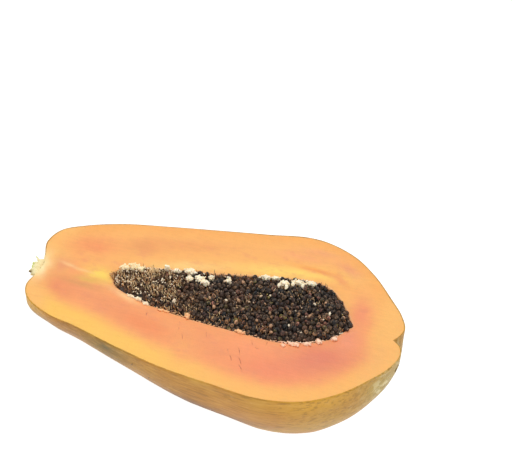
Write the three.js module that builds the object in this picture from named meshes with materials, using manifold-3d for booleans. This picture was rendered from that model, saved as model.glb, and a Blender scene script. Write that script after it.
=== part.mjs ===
// Half of a ripe papaya, cut lengthwise through the stem and lying on its skin, with its cut face up.
// Units are millimetres and +Z is up. The origin is the middle of the small flat spot that it rests on.
//
// Most of it is worked out in the fruit's own frame: the cut face is the plane z = 0 with the flesh below it,
// the stem end points to -x, the blossom end to +x, and "far" and "near" are the +y and -y sides.
// The matrix called rest then tips that frame until the weight stands over the flat spot, and sets it on z = 0.
import * as THREE from "three";
import { mergeVertices } from "three/addons/utils/BufferGeometryUtils.js";
import Module from "manifold-3d";

const wasm = await Module();
wasm.setup();

// Outline of the cut face from the stem dimple to the blossom-end notch: [x, half width] of each side.
const FAR_OUTLINE = [
  [-147.5, 0], [-149.5, 10], [-152.7, 25], [-146, 41], [-128, 52], [-98, 63], [-60, 71], [-20, 78.5], [20, 85.7],
  [62, 92.6], [95, 83], [118, 65.5], [136.5, 44.5], [150, 27], [155.2, 14], [153, 5.5], [149.5, 0],
];
const NEAR_OUTLINE = [
  [-147.5, 0], [-149.5, 13], [-152.4, 27], [-146.5, 40], [-125, 52.8], [-98, 59.5], [-60, 71], [-20, 81],
  [20, 86.2], [62, 90], [96, 83], [121.8, 67], [141, 46.4], [153, 29.8], [158, 14], [155.3, 5], [149.5, 0],
];
const STEM_END = -152; // where the low ridges along the fruit begin and end
const BLOSSOM_END = 158;
const DEPTH_SHARE = 0.97; // depth below the cut face as a share of the half width, at x = 0
const DEPTH_GAIN = 0.0015; // how much that share grows per millimetre towards the blossom end
const LOBES = 5; // a papaya grows from five carpels, which leave low ridges along it
const LOBE_HEIGHT = 0.014; // height of those ridges as a share of the half width, along the belly
const LOBE_END_HEIGHT = 0.05; // the same close to the two ends, where they draw together
const LOBE_REACH = 34; // how far from an end the higher ridges reach

// Rim of the seed cavity on the cut face, from its stem-end tip to its blossom-end tip: [x, y].
const CAVITY_FAR_RIM = [
  [-91, 3], [-81, 14], [-60, 19.5], [-35, 24.5], [-5, 28.8], [25, 36], [50, 40.4], [72, 43.2], [88, 38.4],
  [101, 26], [114, 5],
];
const CAVITY_NEAR_RIM = [
  [-91, 3], [-84, -6], [-70, -13], [-48, -19.2], [-20, -23.8], [15, -26.4], [43, -28], [64, -27.6],
  [85, -21.8], [101, -12], [114, 5],
];
const CAVITY_DEPTH_SHARE = 0.92; // depth of the cavity as a share of its half width
const GAP = 0.35; // clearance between pieces that touch

// Seeds, which stand out of a core of packed seeds that crowns above the cut face.
const HEAP_HEIGHT = 3.2;
const HEAP_TAPER = 12; // where the cavity is narrower than this to each side of its middle, the crown is lower
const SEED_GRID = { left: -92, right: 114, near: -29, far: 44, spacing: 8.8, scatter: 0.8 };
const SEED_RADII = [4.7, 4.1, 3.8];
const SEED_SINK = 0.5; // share of a seed's short radius by which its middle stands above the core
const SEED_EDGE = 1.2; // how close the middle of a seed comes to the cavity's wall
const SMALLEST_SEED = 0.9;
const SEED_VARIATION = 0.25;

// Pale placenta that the seeds hang on: a lumpy strand along each side of the cavity's rim.
const STRAND_INSET = 2.5; // from the rim to the strand's middle
const STRAND_STEPS = 20;
const FAR_STRAND = { from: 0.14, to: 0.8, radius: 1.9, lumps: 15, lump: 3.3, seed: 21 };
const NEAR_STRAND = { from: 0.16, to: 0.9, radius: 1.25, lumps: 12, lump: 1.9, seed: 43 };

// Stub of the fruit stalk in the stem dimple, cut in half with the fruit, with the torn ends of its fibres.
const STALK = { x: -147.5, y: -4, root: 5.5, radius: 8.4, flare: 9.8, length: 5.4 };
const STALK_SIDES = 18;
const TORN_ENDS = [
  { y: 9.2, z: -1.5, radius: 2.1, length: 4.2 },
  { y: 4.5, z: -5.5, radius: 2.4, length: 2.8 },
  { y: 0.5, z: -1.8, radius: 2.3, length: 4.6 },
  { y: -3.5, z: -5.8, radius: 2.2, length: 3.1 },
  { y: -8.6, z: -1.6, radius: 2.2, length: 3.6 },
];
const TORN_END_SIDES = 7;
const TORN_END_ROOT = 2.6; // how deep each torn end is rooted in the stub

const REST_TILT = 15.5; // degrees by which the stem end hangs lower, which brings the weight over the flat spot
const FLAT_DEPTH = 1.1; // how much of the skin the flat spot takes away

// How finely the surfaces are divided, along the fruit and round it.
const BODY_STEPS = 54;
const BODY_TURNS = 44;
const CAVITY_STEPS = 20;
const CAVITY_TURNS = 16;
const CLOSING_IN = 0.35; // share of the steps' spacing that closes in towards both ends

const BEYOND = 400; // half the side of a block that is larger than the fruit

const mix = THREE.MathUtils.lerp;

// A small repeatable random number source, from 0 to 1.
function randomFrom(seed) {
  let state = seed;
  return () => {
    state = (state + 0x6d2b79f5) | 0;
    let mixed = Math.imul(state ^ (state >>> 15), 1 | state);
    mixed = (mixed + Math.imul(mixed ^ (mixed >>> 7), 61 | mixed)) ^ mixed;
    return ((mixed ^ (mixed >>> 14)) >>> 0) / 4294967296;
  };
}

// A smooth curve through points of the plane, from parameter 0 to 1.
function curveThrough(points) {
  const corners = points.map(([x, y]) => new THREE.Vector3(x, y, 0));
  return new THREE.CatmullRomCurve3(corners, false, "centripetal");
}

const farOutline = curveThrough(FAR_OUTLINE);
const nearOutline = curveThrough(NEAR_OUTLINE);
const farRim = curveThrough(CAVITY_FAR_RIM);
const nearRim = curveThrough(CAVITY_NEAR_RIM);

// Height of the ridges as a share of the half width, with a hollow between two of them along the bottom.
// They fade out towards the cut face.
function lobeHeight(x, turn) {
  const toEnd = Math.min(x - STEM_END, BLOSSOM_END - x);
  const atEnd = Math.exp(-Math.max(toEnd, 0) / LOBE_REACH);
  const height = mix(LOBE_HEIGHT, LOBE_END_HEIGHT, atEnd);
  return -height * Math.abs(Math.sin(turn)) * Math.cos(LOBES * (turn - Math.PI / 2));
}

// A point of the skin: along runs from the stem end to the blossom end, turn from the far side (0) under the fruit
// to the near side (pi). From pi to 2 pi it closes over the cut face, as the other half would.
function skinPoint(along, turn) {
  const far = farOutline.getPoint(along);
  const near = nearOutline.getPoint(along);
  const nearness = (1 - Math.cos(turn)) / 2;
  const x = mix(far.x, near.x, nearness);
  const radius = mix(far.y, near.y, nearness) * (1 + lobeHeight(x, turn));
  const depth = radius * (DEPTH_SHARE + DEPTH_GAIN * x);
  return new THREE.Vector3(x, radius * Math.cos(turn), -depth * Math.sin(turn));
}

// A point of the cavity's wall, moved in by inset. Over the rim it crowns to the given height.
function cavityPoint(along, turn, inset, crown) {
  const far = farRim.getPoint(along);
  const near = nearRim.getPoint(along);
  const across = new THREE.Vector3().subVectors(far, near);
  const fullHalf = across.length() / 2;
  const half = Math.max(fullHalf - inset, 0);
  const depth = Math.max(fullHalf * CAVITY_DEPTH_SHARE - inset, 0);
  const rise = Math.sin(turn) >= 0 ? -depth : crown * Math.min(half / HEAP_TAPER, 1);
  const middle = new THREE.Vector3().addVectors(far, near).multiplyScalar(0.5);
  return middle
    .addScaledVector(across.normalize(), half * Math.cos(turn))
    .setZ(rise * Math.abs(Math.sin(turn)));
}

// A closed surface from a function of (along, turn) that draws together to a point at both ends.
function closedSurface(pointAt, alongs, turns) {
  const positions = [];
  const rings = alongs.length - 2;
  const corner = (along, step) => pointAt(along, (step / turns) * 2 * Math.PI);
  alongs.slice(1, -1).forEach((along) => {
    for (let step = 0; step < turns; step++) positions.push(...corner(along, step).toArray());
  });
  const first = positions.length / 3;
  positions.push(...corner(alongs[0], 0).toArray(), ...corner(alongs.at(-1), 0).toArray());
  const index = [];
  for (let step = 0; step < turns; step++) {
    const next = (step + 1) % turns;
    for (let ring = 0; ring + 1 < rings; ring++) {
      const a = ring * turns + step;
      const b = ring * turns + next;
      index.push(a, a + turns, b, b, a + turns, b + turns);
    }
    const last = (rings - 1) * turns;
    index.push(first, step, next, first + 1, last + next, last + step);
  }
  const geometry = new THREE.BufferGeometry();
  geometry.setAttribute("position", new THREE.Float32BufferAttribute(positions, 3));
  geometry.setIndex(index);
  return geometry;
}

// A three.js geometry as a solid that can be joined and cut.
function solid(geometry) {
  const bare = geometry.clone();
  bare.deleteAttribute("normal");
  bare.deleteAttribute("uv");
  const merged = mergeVertices(bare, 1e-4);
  const made = new wasm.Manifold(
    new wasm.Mesh({
      numProp: 3,
      vertProperties: Float32Array.from(merged.attributes.position.array),
      triVerts: Uint32Array.from(merged.index.array),
    }),
  );
  if (made.volume() < 0) throw new Error("a surface faces inwards");
  return made;
}

// The largest body of a solid, as a three.js geometry. Loose scraps that a cut leaves are dropped.
function geometryOf(made) {
  const bodies = made.decompose().sort((a, b) => b.volume() - a.volume());
  const mesh = bodies[0].getMesh();
  const geometry = new THREE.BufferGeometry();
  geometry.setAttribute("position", new THREE.BufferAttribute(mesh.vertProperties, 3));
  geometry.setIndex(new THREE.BufferAttribute(mesh.triVerts, 1));
  const flat = geometry.toNonIndexed();
  flat.computeVertexNormals();
  return flat;
}

function block(low, high) {
  const size = new THREE.Vector3().subVectors(high, low);
  const middle = new THREE.Vector3().addVectors(low, high).multiplyScalar(0.5);
  return new THREE.BoxGeometry(size.x, size.y, size.z).translate(middle.x, middle.y, middle.z);
}

// Everything above a height of the fruit's own frame.
function above(height) {
  const low = new THREE.Vector3(-BEYOND, -BEYOND, height);
  return solid(block(low, new THREE.Vector3(BEYOND, BEYOND, height + BEYOND)));
}

function joined(solids) {
  return solids.reduce((all, one) => all.add(one));
}

// Steps from 0 to 1, closer together near both ends, where the surface turns fastest.
function stepsClosingIn(count) {
  return Array.from({ length: count + 1 }, (_, step) => {
    const even = step / count;
    return mix(even, (1 - Math.cos(Math.PI * even)) / 2, CLOSING_IN);
  });
}

function cavitySolid(inset) {
  const wall = (along, turn) => cavityPoint(along, turn, inset, HEAP_HEIGHT);
  return solid(closedSurface(wall, stepsClosingIn(CAVITY_STEPS), CAVITY_TURNS));
}

// The space that a piece in the cavity may fill: inside the wall by a gap, and over the cut face by a gap.
const roomForSeeds = cavitySolid(GAP).add(above(GAP));

// Flesh and skin, which grew as one piece, with the seed cavity and a socket for the stalk.
function makeHalf(stalkSocket) {
  const whole = solid(closedSurface(skinPoint, stepsClosingIn(BODY_STEPS), BODY_TURNS));
  return whole.subtract(above(0)).subtract(cavitySolid(0)).subtract(stalkSocket);
}

// Where a rim stands at x. It is found by halving, because x always grows along a rim.
function rimAt(rim, x) {
  const halvings = 24;
  let low = 0;
  let high = 1;
  for (let halving = 0; halving < halvings; halving++) {
    const middle = (low + high) / 2;
    if (rim.getPoint(middle).x < x) low = middle;
    else high = middle;
  }
  return rim.getPoint(low).y;
}

// Places for seeds on a staggered grid with a little scatter, with the height of the core's crown there.
function seedPlaces(random) {
  const { left, right, near, far, spacing, scatter } = SEED_GRID;
  const rowHeight = (spacing * Math.sqrt(3)) / 2;
  const places = [];
  for (let row = 0; near + row * rowHeight <= far; row++) {
    for (let column = 0; left + column * spacing <= right; column++) {
      const x = left + (column + (row % 2) / 2) * spacing + (random() * 2 - 1) * scatter;
      const y = near + row * rowHeight + (random() * 2 - 1) * scatter;
      const middle = (rimAt(farRim, x) + rimAt(nearRim, x)) / 2;
      const half = rimAt(farRim, x) - middle;
      if (Math.abs(y - middle) > half - SEED_EDGE) continue;
      const off = (y - middle) / half;
      const crown = HEAP_HEIGHT * Math.min(half / HEAP_TAPER, 1) * Math.sqrt(1 - off * off);
      places.push(new THREE.Vector3(x, y, crown));
    }
  }
  return places;
}

// One body: the core with seeds standing out of it, cut back where the strands lie.
function makeSeeds(strands) {
  const random = randomFrom(7);
  const underStrand = (place) =>
    strands.some(({ middles, radius }) =>
      middles.some((middle) => Math.hypot(middle.x - place.x, middle.y - place.y) < radius + SEED_EDGE),
    );
  const seeds = seedPlaces(random).map((place) => {
    const size = SMALLEST_SEED + SEED_VARIATION * random();
    const spin = new THREE.Euler(random() * 2 * Math.PI, random() - 0.5, random() * 2 * Math.PI);
    if (underStrand(place)) return null;
    const seed = new THREE.IcosahedronGeometry(size, 0).scale(...SEED_RADII);
    seed.applyMatrix4(new THREE.Matrix4().makeRotationFromEuler(spin));
    return solid(seed.translate(place.x, place.y, place.z + SEED_SINK * SEED_RADII[2]));
  });
  const heap = cavitySolid(GAP).add(joined(seeds.filter(Boolean))).intersect(roomForSeeds);
  return strands.reduce((left, strand) => left.subtract(strand.room), heap);
}

// A lumpy strand just inside a rim. Its room is the same strand, fatter by a gap.
function makeStrand(rim, side, { from, to, radius, lumps, lump, seed }) {
  const middleAt = (share) => {
    const along = rim.getTangent(share);
    const inward = new THREE.Vector3(-along.y * side, along.x * side, 0).normalize();
    return rim.getPoint(share).addScaledVector(inward, STRAND_INSET);
  };
  const middles = Array.from({ length: STRAND_STEPS + 1 }, (_, step) =>
    middleAt(mix(from, to, step / STRAND_STEPS)),
  );
  const path = new THREE.CatmullRomCurve3(middles);
  const build = (extra) => {
    const random = randomFrom(seed);
    const section = new THREE.Shape().absarc(0, 0, radius + extra, 0, 2 * Math.PI);
    const sweep = { steps: STRAND_STEPS, curveSegments: 3, extrudePath: path, bevelEnabled: false };
    const parts = [solid(new THREE.ExtrudeGeometry(section, sweep))];
    for (let number = 0; number < lumps; number++) {
      const place = path.getPoint(Math.min(Math.max((number + random()) / lumps, 0.02), 0.98));
      const size = lump * (0.75 + 0.5 * random()) + extra;
      const bead = new THREE.IcosahedronGeometry(size, 0).scale(1.25, 0.8, 0.75).rotateZ(random() * Math.PI);
      parts.push(solid(bead.translate(place.x, place.y, 0.5 + 0.6 * random())));
    }
    return joined(parts);
  };
  return { body: build(0).intersect(roomForSeeds), room: build(GAP), middles, radius };
}

// The stub lies along x and is cut level with the flesh. A socket for it is fatter by extra and open above.
function makeStalk(extra) {
  const { x, y, root, radius, flare, length } = STALK;
  const profile = [
    [0, root + extra],
    [radius + extra, root + extra],
    [radius + extra, 0],
    [flare + extra, -length * 0.5],
    [flare * 0.93 + extra, -length * 0.85 - extra],
    [flare * 0.66 + extra, -length - extra],
    [0, -length * 0.75 - extra],
  ];
  const points = profile.map(([across, inward]) => new THREE.Vector2(across, -inward));
  const stub = new THREE.LatheGeometry(points, STALK_SIDES).rotateZ(Math.PI / 2);
  const parts = [solid(stub.translate(x, y, 0))];
  for (const torn of TORN_ENDS) {
    const tall = torn.length + TORN_END_ROOT;
    const end = new THREE.ConeGeometry(torn.radius + extra, tall + extra, TORN_END_SIDES).rotateZ(Math.PI / 2);
    const middle = x - length * 0.75 + TORN_END_ROOT - tall / 2;
    parts.push(solid(end.translate(middle, y + torn.y, torn.z)));
  }
  const whole = joined(parts);
  return extra > 0 ? whole : whole.subtract(above(0));
}

// The middle of the flat spot once the fruit is tipped: the skin less than FLAT_DEPTH above its lowest point.
function middleOfFlatSpot(tilt) {
  const alongSteps = 400;
  const turnSteps = 90;
  const points = [];
  for (let step = 1; step < alongSteps; step++) {
    for (let turn = 1; turn < turnSteps; turn++) {
      points.push(skinPoint(step / alongSteps, (turn / turnSteps) * Math.PI).applyMatrix4(tilt));
    }
  }
  const height = Math.min(...points.map((point) => point.z)) + FLAT_DEPTH;
  const lengthwise = points.filter((point) => point.z < height).map((point) => point.x);
  return new THREE.Vector3((Math.min(...lengthwise) + Math.max(...lengthwise)) / 2, 0, height);
}

const tilt = new THREE.Matrix4().makeRotationY(THREE.MathUtils.degToRad(-REST_TILT));
const flatSpot = middleOfFlatSpot(tilt);
const rest = new THREE.Matrix4().makeTranslation(-flatSpot.x, 0, -flatSpot.z).multiply(tilt);

// The flat spot is cut by the floor, once the half is in its resting place.
function seatOnFloor(geometry) {
  const floor = block(new THREE.Vector3(-BEYOND, -BEYOND, -BEYOND), new THREE.Vector3(BEYOND, BEYOND, 0));
  return geometryOf(solid(geometry).subtract(solid(floor)));
}

const farStrand = makeStrand(farRim, -1, FAR_STRAND);
const nearStrand = makeStrand(nearRim, 1, NEAR_STRAND);

const group = new THREE.Group();

function place(name, geometry, colour, roughness) {
  const material = new THREE.MeshStandardMaterial({ color: colour, roughness, metalness: 0 });
  const mesh = new THREE.Mesh(geometry, material);
  mesh.name = name;
  group.add(mesh);
}

place("papaya_half", seatOnFloor(geometryOf(makeHalf(makeStalk(GAP))).applyMatrix4(rest)), 0xf6a56d, 0.55);
place("seed_heap", geometryOf(makeSeeds([farStrand, nearStrand])).applyMatrix4(rest), 0x2e2420, 0.35);
place("placenta_far", geometryOf(farStrand.body).applyMatrix4(rest), 0xf8e6c4, 0.6);
place("placenta_near", geometryOf(nearStrand.body).applyMatrix4(rest), 0xf5c9a0, 0.6);
place("stalk_stub", geometryOf(makeStalk(0)).applyMatrix4(rest), 0xd9cf8c, 0.8);

export default group;
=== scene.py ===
import math

import bmesh
import bpy
import numpy as np
from mathutils import Matrix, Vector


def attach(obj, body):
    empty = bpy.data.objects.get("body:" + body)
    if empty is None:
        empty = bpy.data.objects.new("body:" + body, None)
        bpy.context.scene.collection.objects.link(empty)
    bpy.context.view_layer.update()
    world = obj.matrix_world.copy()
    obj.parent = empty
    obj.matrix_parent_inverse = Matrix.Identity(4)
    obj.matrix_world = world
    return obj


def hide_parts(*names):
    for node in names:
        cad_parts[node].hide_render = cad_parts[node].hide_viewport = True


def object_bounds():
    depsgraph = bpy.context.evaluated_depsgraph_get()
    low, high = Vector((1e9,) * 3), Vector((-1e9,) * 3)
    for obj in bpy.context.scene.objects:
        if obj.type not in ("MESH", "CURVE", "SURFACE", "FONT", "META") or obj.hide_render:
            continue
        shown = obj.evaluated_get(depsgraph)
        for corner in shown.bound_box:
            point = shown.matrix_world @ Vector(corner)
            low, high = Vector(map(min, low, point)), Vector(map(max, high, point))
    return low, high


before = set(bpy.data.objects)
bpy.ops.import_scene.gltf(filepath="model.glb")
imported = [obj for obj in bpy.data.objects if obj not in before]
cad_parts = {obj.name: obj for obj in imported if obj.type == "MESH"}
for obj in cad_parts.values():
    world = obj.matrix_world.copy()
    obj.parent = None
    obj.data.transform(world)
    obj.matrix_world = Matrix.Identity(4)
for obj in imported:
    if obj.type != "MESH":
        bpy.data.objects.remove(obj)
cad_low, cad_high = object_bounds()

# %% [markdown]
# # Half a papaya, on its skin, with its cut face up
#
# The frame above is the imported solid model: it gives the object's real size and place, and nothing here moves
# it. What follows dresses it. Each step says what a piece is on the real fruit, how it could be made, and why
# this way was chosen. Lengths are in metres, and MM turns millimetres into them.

MM = 0.001
IMAGE_WIDTH = 512
IMAGE_HEIGHT = 473
print("CAD box, mm:", np.round(np.array([cad_low, cad_high]) / MM, 1).tolist())

# %% [markdown]
# ## The fruit's own frame
#
# A half fruit is easiest to describe with its cut face level: x runs from the stem to the blossom end, y from
# the near side to the far side, and z = 0 is the cut. At rest it lies tipped, because the thick blossom end
# lifts the cut face on its side. So shapes are worked out in the fruit's frame and turned by one matrix at
# the very end, and materials turn Object coordinates back with the same angle.

# %% Rest angle and place
REST_TILT = math.radians(15.5)


def turn_about_y(angle):
    """The matrix that turns points about Y: x and z mix by the angle's cosine and sine."""
    c, s = math.cos(angle), math.sin(angle)
    return np.array([[c, 0.0, s], [0.0, 1.0, 0.0], [-s, 0.0, c]])


FRUIT_TO_PART = turn_about_y(-REST_TILT)

# %% [markdown]
# ## Outlines
#
# The cut shows two closed lines: where the skin ends, and where the seed cavity opens. Each is a smooth curve
# through a few measured points, for the far and for the near side apart, because no fruit is symmetric. The
# curve is a centripetal cubic spline, which passes through its points and doesn't loop between them.

# %% Measured points, from the stem end to the blossom end
FAR_OUTLINE = MM * np.array([
    [-147.5, 0], [-149.5, 10], [-152.7, 25], [-146, 41], [-128, 52], [-98, 63], [-60, 71], [-20, 78.5],
    [20, 85.7], [62, 92.6], [95, 83], [118, 65.5], [136.5, 44.5], [150, 27], [155.2, 14], [153, 5.5],
    [149.5, 0],
])
NEAR_OUTLINE = MM * np.array([
    [-147.5, 0], [-149.5, 13], [-152.4, 27], [-146.5, 40], [-125, 52.8], [-98, 59.5], [-60, 71], [-20, 81],
    [20, 86.2], [62, 90], [96, 83], [121.8, 67], [141, 46.4], [153, 29.8], [158, 14], [155.3, 5], [149.5, 0],
])
CAVITY_FAR_RIM = MM * np.array([
    [-88, 2.6], [-80.5, 13], [-60, 19.5], [-35, 24.5], [-5, 28.8], [25, 36], [50, 40.4], [72, 43.2],
    [88, 38.4], [101, 26], [114, 5],
])
CAVITY_NEAR_RIM = MM * np.array([
    [-88, 2.6], [-82.5, -6.2], [-70, -13], [-48, -19.2], [-20, -23.8], [15, -26.4], [43, -28], [64, -27.6],
    [85, -21.8], [101, -12], [114, 5],
])


def mix(low, high, share):
    """low where share is 0, high where it is 1, and straight between."""
    return low + (high - low) * share


def smooth_step(low, high, value):
    """0 below low, 1 above high, and 3t^2 - 2t^3 between."""
    t = np.clip((value - low) / (high - low), 0, 1)
    return t * t * (3 - 2 * t)


def curve_through(points, share):
    """A centripetal cubic spline, share running from 0 to 1. Between two points it is the cubic whose
    slopes at both ends come from their neighbours, with a step of the fourth root of the squared distance."""
    ends = [2 * points[0] - points[1], *points, 2 * points[-1] - points[-2]]
    knots = np.array(ends)
    place = np.asarray(share) * (len(points) - 1)
    first = np.clip(np.floor(place).astype(int), 0, len(points) - 2)
    t = (place - first)[..., None]
    p0, p1, p2, p3 = (knots[first + shift] for shift in range(4))
    d0, d1, d2 = (
        np.sum((after - before) ** 2, axis=-1, keepdims=True) ** 0.25
        for before, after in ((p0, p1), (p1, p2), (p2, p3))
    )
    slope1 = ((p1 - p0) / d0 - (p2 - p0) / (d0 + d1) + (p2 - p1) / d1) * d1
    slope2 = ((p2 - p1) / d1 - (p3 - p1) / (d1 + d2) + (p3 - p2) / d2) * d1
    cubic = 2 * (p1 - p2) + slope1 + slope2
    square = 3 * (p2 - p1) - 2 * slope1 - slope2
    return p1 + t * (slope1 + t * (square + t * cubic))


# %% [markdown]
# ## Skin surface
#
# Below the cut the fruit is close to a body of revolution that was blown up more towards the blossom end. Its
# five carpels leave low ridges that draw together at both ends. So a point of the skin needs two parameters:
# how far along the outline it is, and the turn from the far side under the fruit to the near side.

# %% Skin formula
DEPTH_SHARE = 0.97
DEPTH_GAIN = 1.5
LOBES = 5
LOBE_HEIGHT = 0.014
LOBE_END_HEIGHT = 0.05
LOBE_REACH = 34 * MM
STEM_END = -152 * MM
BLOSSOM_END = 158 * MM
FLAT_DEPTH = 1.1 * MM


def skin_surface(along, turn):
    """x and the half width blend from the far outline to the near one by (1 - cos turn) / 2. The half width
    swells by the ridges, -height |sin turn| cos(5 (turn - pi/2)). y is width cos turn, and z is minus width
    times the depth share times sin turn, where the depth share grows evenly along x."""
    far = curve_through(FAR_OUTLINE, along)
    near = curve_through(NEAR_OUTLINE, along)
    x, width = np.moveaxis(mix(far, near, ((1 - np.cos(turn)) / 2)[..., None]), -1, 0)
    to_end = np.maximum(np.minimum(x - STEM_END, BLOSSOM_END - x), 0)
    height = mix(LOBE_HEIGHT, LOBE_END_HEIGHT, np.exp(-to_end / LOBE_REACH))
    width = width * (1 - height * np.abs(np.sin(turn)) * np.cos(LOBES * (turn - math.pi / 2)))
    depth = width * (DEPTH_SHARE + DEPTH_GAIN * x)
    return np.stack([x, width * np.cos(turn), -depth * np.sin(turn)], axis=-1)


def spaced(count, closing):
    """count + 1 shares from 0 to 1 that close in towards both ends: a mix of even steps and (1 - cos) / 2."""
    even = np.linspace(0, 1, count + 1)
    return mix(even, (1 - np.cos(math.pi * even)) / 2, closing)


def resting_place():
    """Where the fruit's frame goes: the middle of the skin less than FLAT_DEPTH above its lowest point is
    the part's origin, once the fruit is tipped."""
    along, turn = np.meshgrid(np.arange(1, 400) / 400, np.arange(1, 90) / 90 * math.pi, indexing="ij")
    tipped = skin_surface(along, turn) @ FRUIT_TO_PART.T
    height = tipped[..., 2].min() + FLAT_DEPTH
    touching = tipped[..., 0][tipped[..., 2] < height]
    return np.array([-(touching.min() + touching.max()) / 2, 0.0, -height])


FRUIT_PLACE = resting_place()


def to_part(points):
    """A point of the fruit's frame in the part's frame: turned by the rest angle, then moved to its place."""
    return points @ FRUIT_TO_PART.T + FRUIT_PLACE


print("the fruit's frame stands at, mm:", np.round(FRUIT_PLACE / MM, 2).tolist())

# %% [markdown]
# ## Camera
#
# The camera keeps the photograph's view of the cut face. Its angles are given in the fruit's frame, where
# they were measured, and turned into the part's frame with everything else. A long lens 1.6 m away gives the
# weak perspective of the photograph. The aim is set so that the fruit's centre falls on the same pixel.

# %% Camera
CAMERA_AZIMUTH = math.radians(16.563)
CAMERA_ELEVATION = math.radians(47.0)
CAMERA_ROLL = math.radians(0.182)
CAMERA_DISTANCE = 1.6
FOCAL_PIXELS = 1973.4
CENTRE_PIXEL = (214.48, 300.78)
SENSOR_WIDTH = 36.0


def camera_axes():
    """Rows are the camera's right, up and back in the fruit's frame. Back points from the fruit's centre to
    the camera; the three are rolled, then turned so that the centre is seen in CENTRE_PIXEL."""
    a, e, r = CAMERA_AZIMUTH, CAMERA_ELEVATION, CAMERA_ROLL
    back = np.array([math.sin(a) * math.cos(e), -math.cos(a) * math.cos(e), math.sin(e)])
    right = np.array([math.cos(a), math.sin(a), 0.0])
    up = np.cross(back, right)
    rolled = np.array([
        math.cos(r) * right + math.sin(r) * up,
        -math.sin(r) * right + math.cos(r) * up,
        back,
    ])
    offset = [
        (CENTRE_PIXEL[0] - IMAGE_WIDTH / 2) / FOCAL_PIXELS,
        (IMAGE_HEIGHT / 2 - CENTRE_PIXEL[1]) / FOCAL_PIXELS,
    ]
    towards = np.array([*offset, -1.0])
    towards /= np.linalg.norm(towards)
    ahead = np.array([0.0, 0.0, -1.0])
    axis = np.cross(ahead, towards)
    cross = np.array([[0, -axis[2], axis[1]], [axis[2], 0, -axis[0]], [-axis[1], axis[0], 0]])
    aim = np.eye(3) + cross + cross @ cross / (1 + ahead @ towards)
    return back * CAMERA_DISTANCE, aim @ rolled


def make_camera():
    """The camera looks along its own -Z, so its matrix has the three axes as columns."""
    place, axes = camera_axes()
    data = bpy.data.cameras.new("camera")
    data.sensor_width = SENSOR_WIDTH
    data.lens = FOCAL_PIXELS * SENSOR_WIDTH / IMAGE_WIDTH
    data.clip_start = 0.05
    data.clip_end = 30
    camera = bpy.data.objects.new("camera", data)
    bpy.context.scene.collection.objects.link(camera)
    turn_and_place = np.column_stack([FRUIT_TO_PART @ axes.T, to_part(place)])
    camera.matrix_world = Matrix(np.vstack([turn_and_place, [0, 0, 0, 1]]).tolist())
    bpy.context.scene.camera = camera
    print("camera at, m:", np.round(to_part(place), 3).tolist(), "lens, mm:", round(data.lens, 1))


make_camera()

# %% [markdown]
# ## Floor and light
#
# Soft studio light keeps the eye on the fruit. The key comes from above and behind the left, as in the
# photograph, where the cut face is bright and the skin under it falls off. A product shot on white has almost
# no shadow, so the floor glows from below, as a light table does, and reflects little of its own.

# %% Floor, world and lamps
bpy.context.scene.view_settings.view_transform = "Standard"


def to_linear(hex_colour):
    """An sRGB colour such as #fec673 as linear red, green, blue and alpha."""
    parts = np.array([int(hex_colour[i:i + 2], 16) / 255 for i in (1, 3, 5)])
    linear = np.where(parts <= 0.04045, parts / 12.92, ((parts + 0.055) / 1.055) ** 2.4)
    return (*linear.tolist(), 1.0)


FLOOR_TINT = "#8a8a8a"
FLOOR_HALF = 3.0
FLOOR_GLOW = 0.95
WORLD_STRENGTH = 0.74
LAMPS = {
    "key": {"at": (-0.55, 0.35, 1.35), "size": 0.8, "watts": 9.0, "tint": "#fffdfa"},
    "front": {"at": (-0.75, -1.15, 0.45), "size": 1.1, "watts": 1.4, "tint": "#ffffff"},
    "right": {"at": (1.2, -0.2, 0.8), "size": 0.8, "watts": 1.6, "tint": "#ffffff"},
}


def make_world():
    world = bpy.data.worlds.new("studio")
    world.use_nodes = True
    background = world.node_tree.nodes["Background"]
    background.inputs["Color"].default_value = to_linear("#ffffff")
    background.inputs["Strength"].default_value = WORLD_STRENGTH
    bpy.context.scene.world = world


def make_lamp(name, at, size, watts, tint):
    """A square area lamp that faces the middle of the fruit."""
    data = bpy.data.lights.new(name, "AREA")
    data.energy = watts
    data.size = size
    data.color = to_linear(tint)[:3]
    lamp = bpy.data.objects.new(name, data)
    bpy.context.scene.collection.objects.link(lamp)
    middle = (cad_low + cad_high) / 2
    lamp.location = at
    lamp.rotation_euler = (middle - lamp.location).to_track_quat("-Z", "Y").to_euler()


make_world()
for lamp_name, lamp in LAMPS.items():
    make_lamp(lamp_name, **lamp)
print("lamps:", list(LAMPS))

# %% [markdown]
# ## Shader maths as Python
#
# A finish is a small program: take a place on the piece, add some noise, compare, mix colours. Wiring that by
# hand hides the thought. Here one class holds an output socket and turns Python's operators into Math nodes,
# and one method makes any other node, so that each finish below reads as a formula.

# %% Sockets and finishes
class Socket:
    """An output of a material's node, on which Python's operators add Math nodes."""

    def __init__(self, finish, output):
        self.finish = finish
        self.output = output

    def maths(self, operation, *others):
        return self.finish.node("ShaderNodeMath", {"operation": operation}, dict(enumerate((self, *others))))

    def __add__(self, other):
        return self.maths("ADD", other)

    def __sub__(self, other):
        return self.maths("SUBTRACT", other)

    def __rsub__(self, other):
        return (self * -1) + other

    def __mul__(self, other):
        return self.maths("MULTIPLY", other)

    def __truediv__(self, other):
        return self.maths("DIVIDE", other)

    __radd__ = __add__
    __rmul__ = __mul__

    def absolute(self):
        return self.maths("ABSOLUTE")

    def bell(self, middle, width):
        """1 at middle, falling to both sides as exp(-((value - middle) / width)^2)."""
        off = (self - middle) / width
        return (off * off * -1).maths("EXPONENT")

    def rise(self, low, high):
        """0 at low, 1 at high, smooth between. It falls where high is below low."""
        ends = {"From Min": min(low, high), "From Max": max(low, high)}
        risen = self.finish.node(
            "ShaderNodeMapRange", {"interpolation_type": "SMOOTHSTEP"}, {"Value": self, **ends},
        )
        return risen if low < high else 1 - risen


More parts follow.
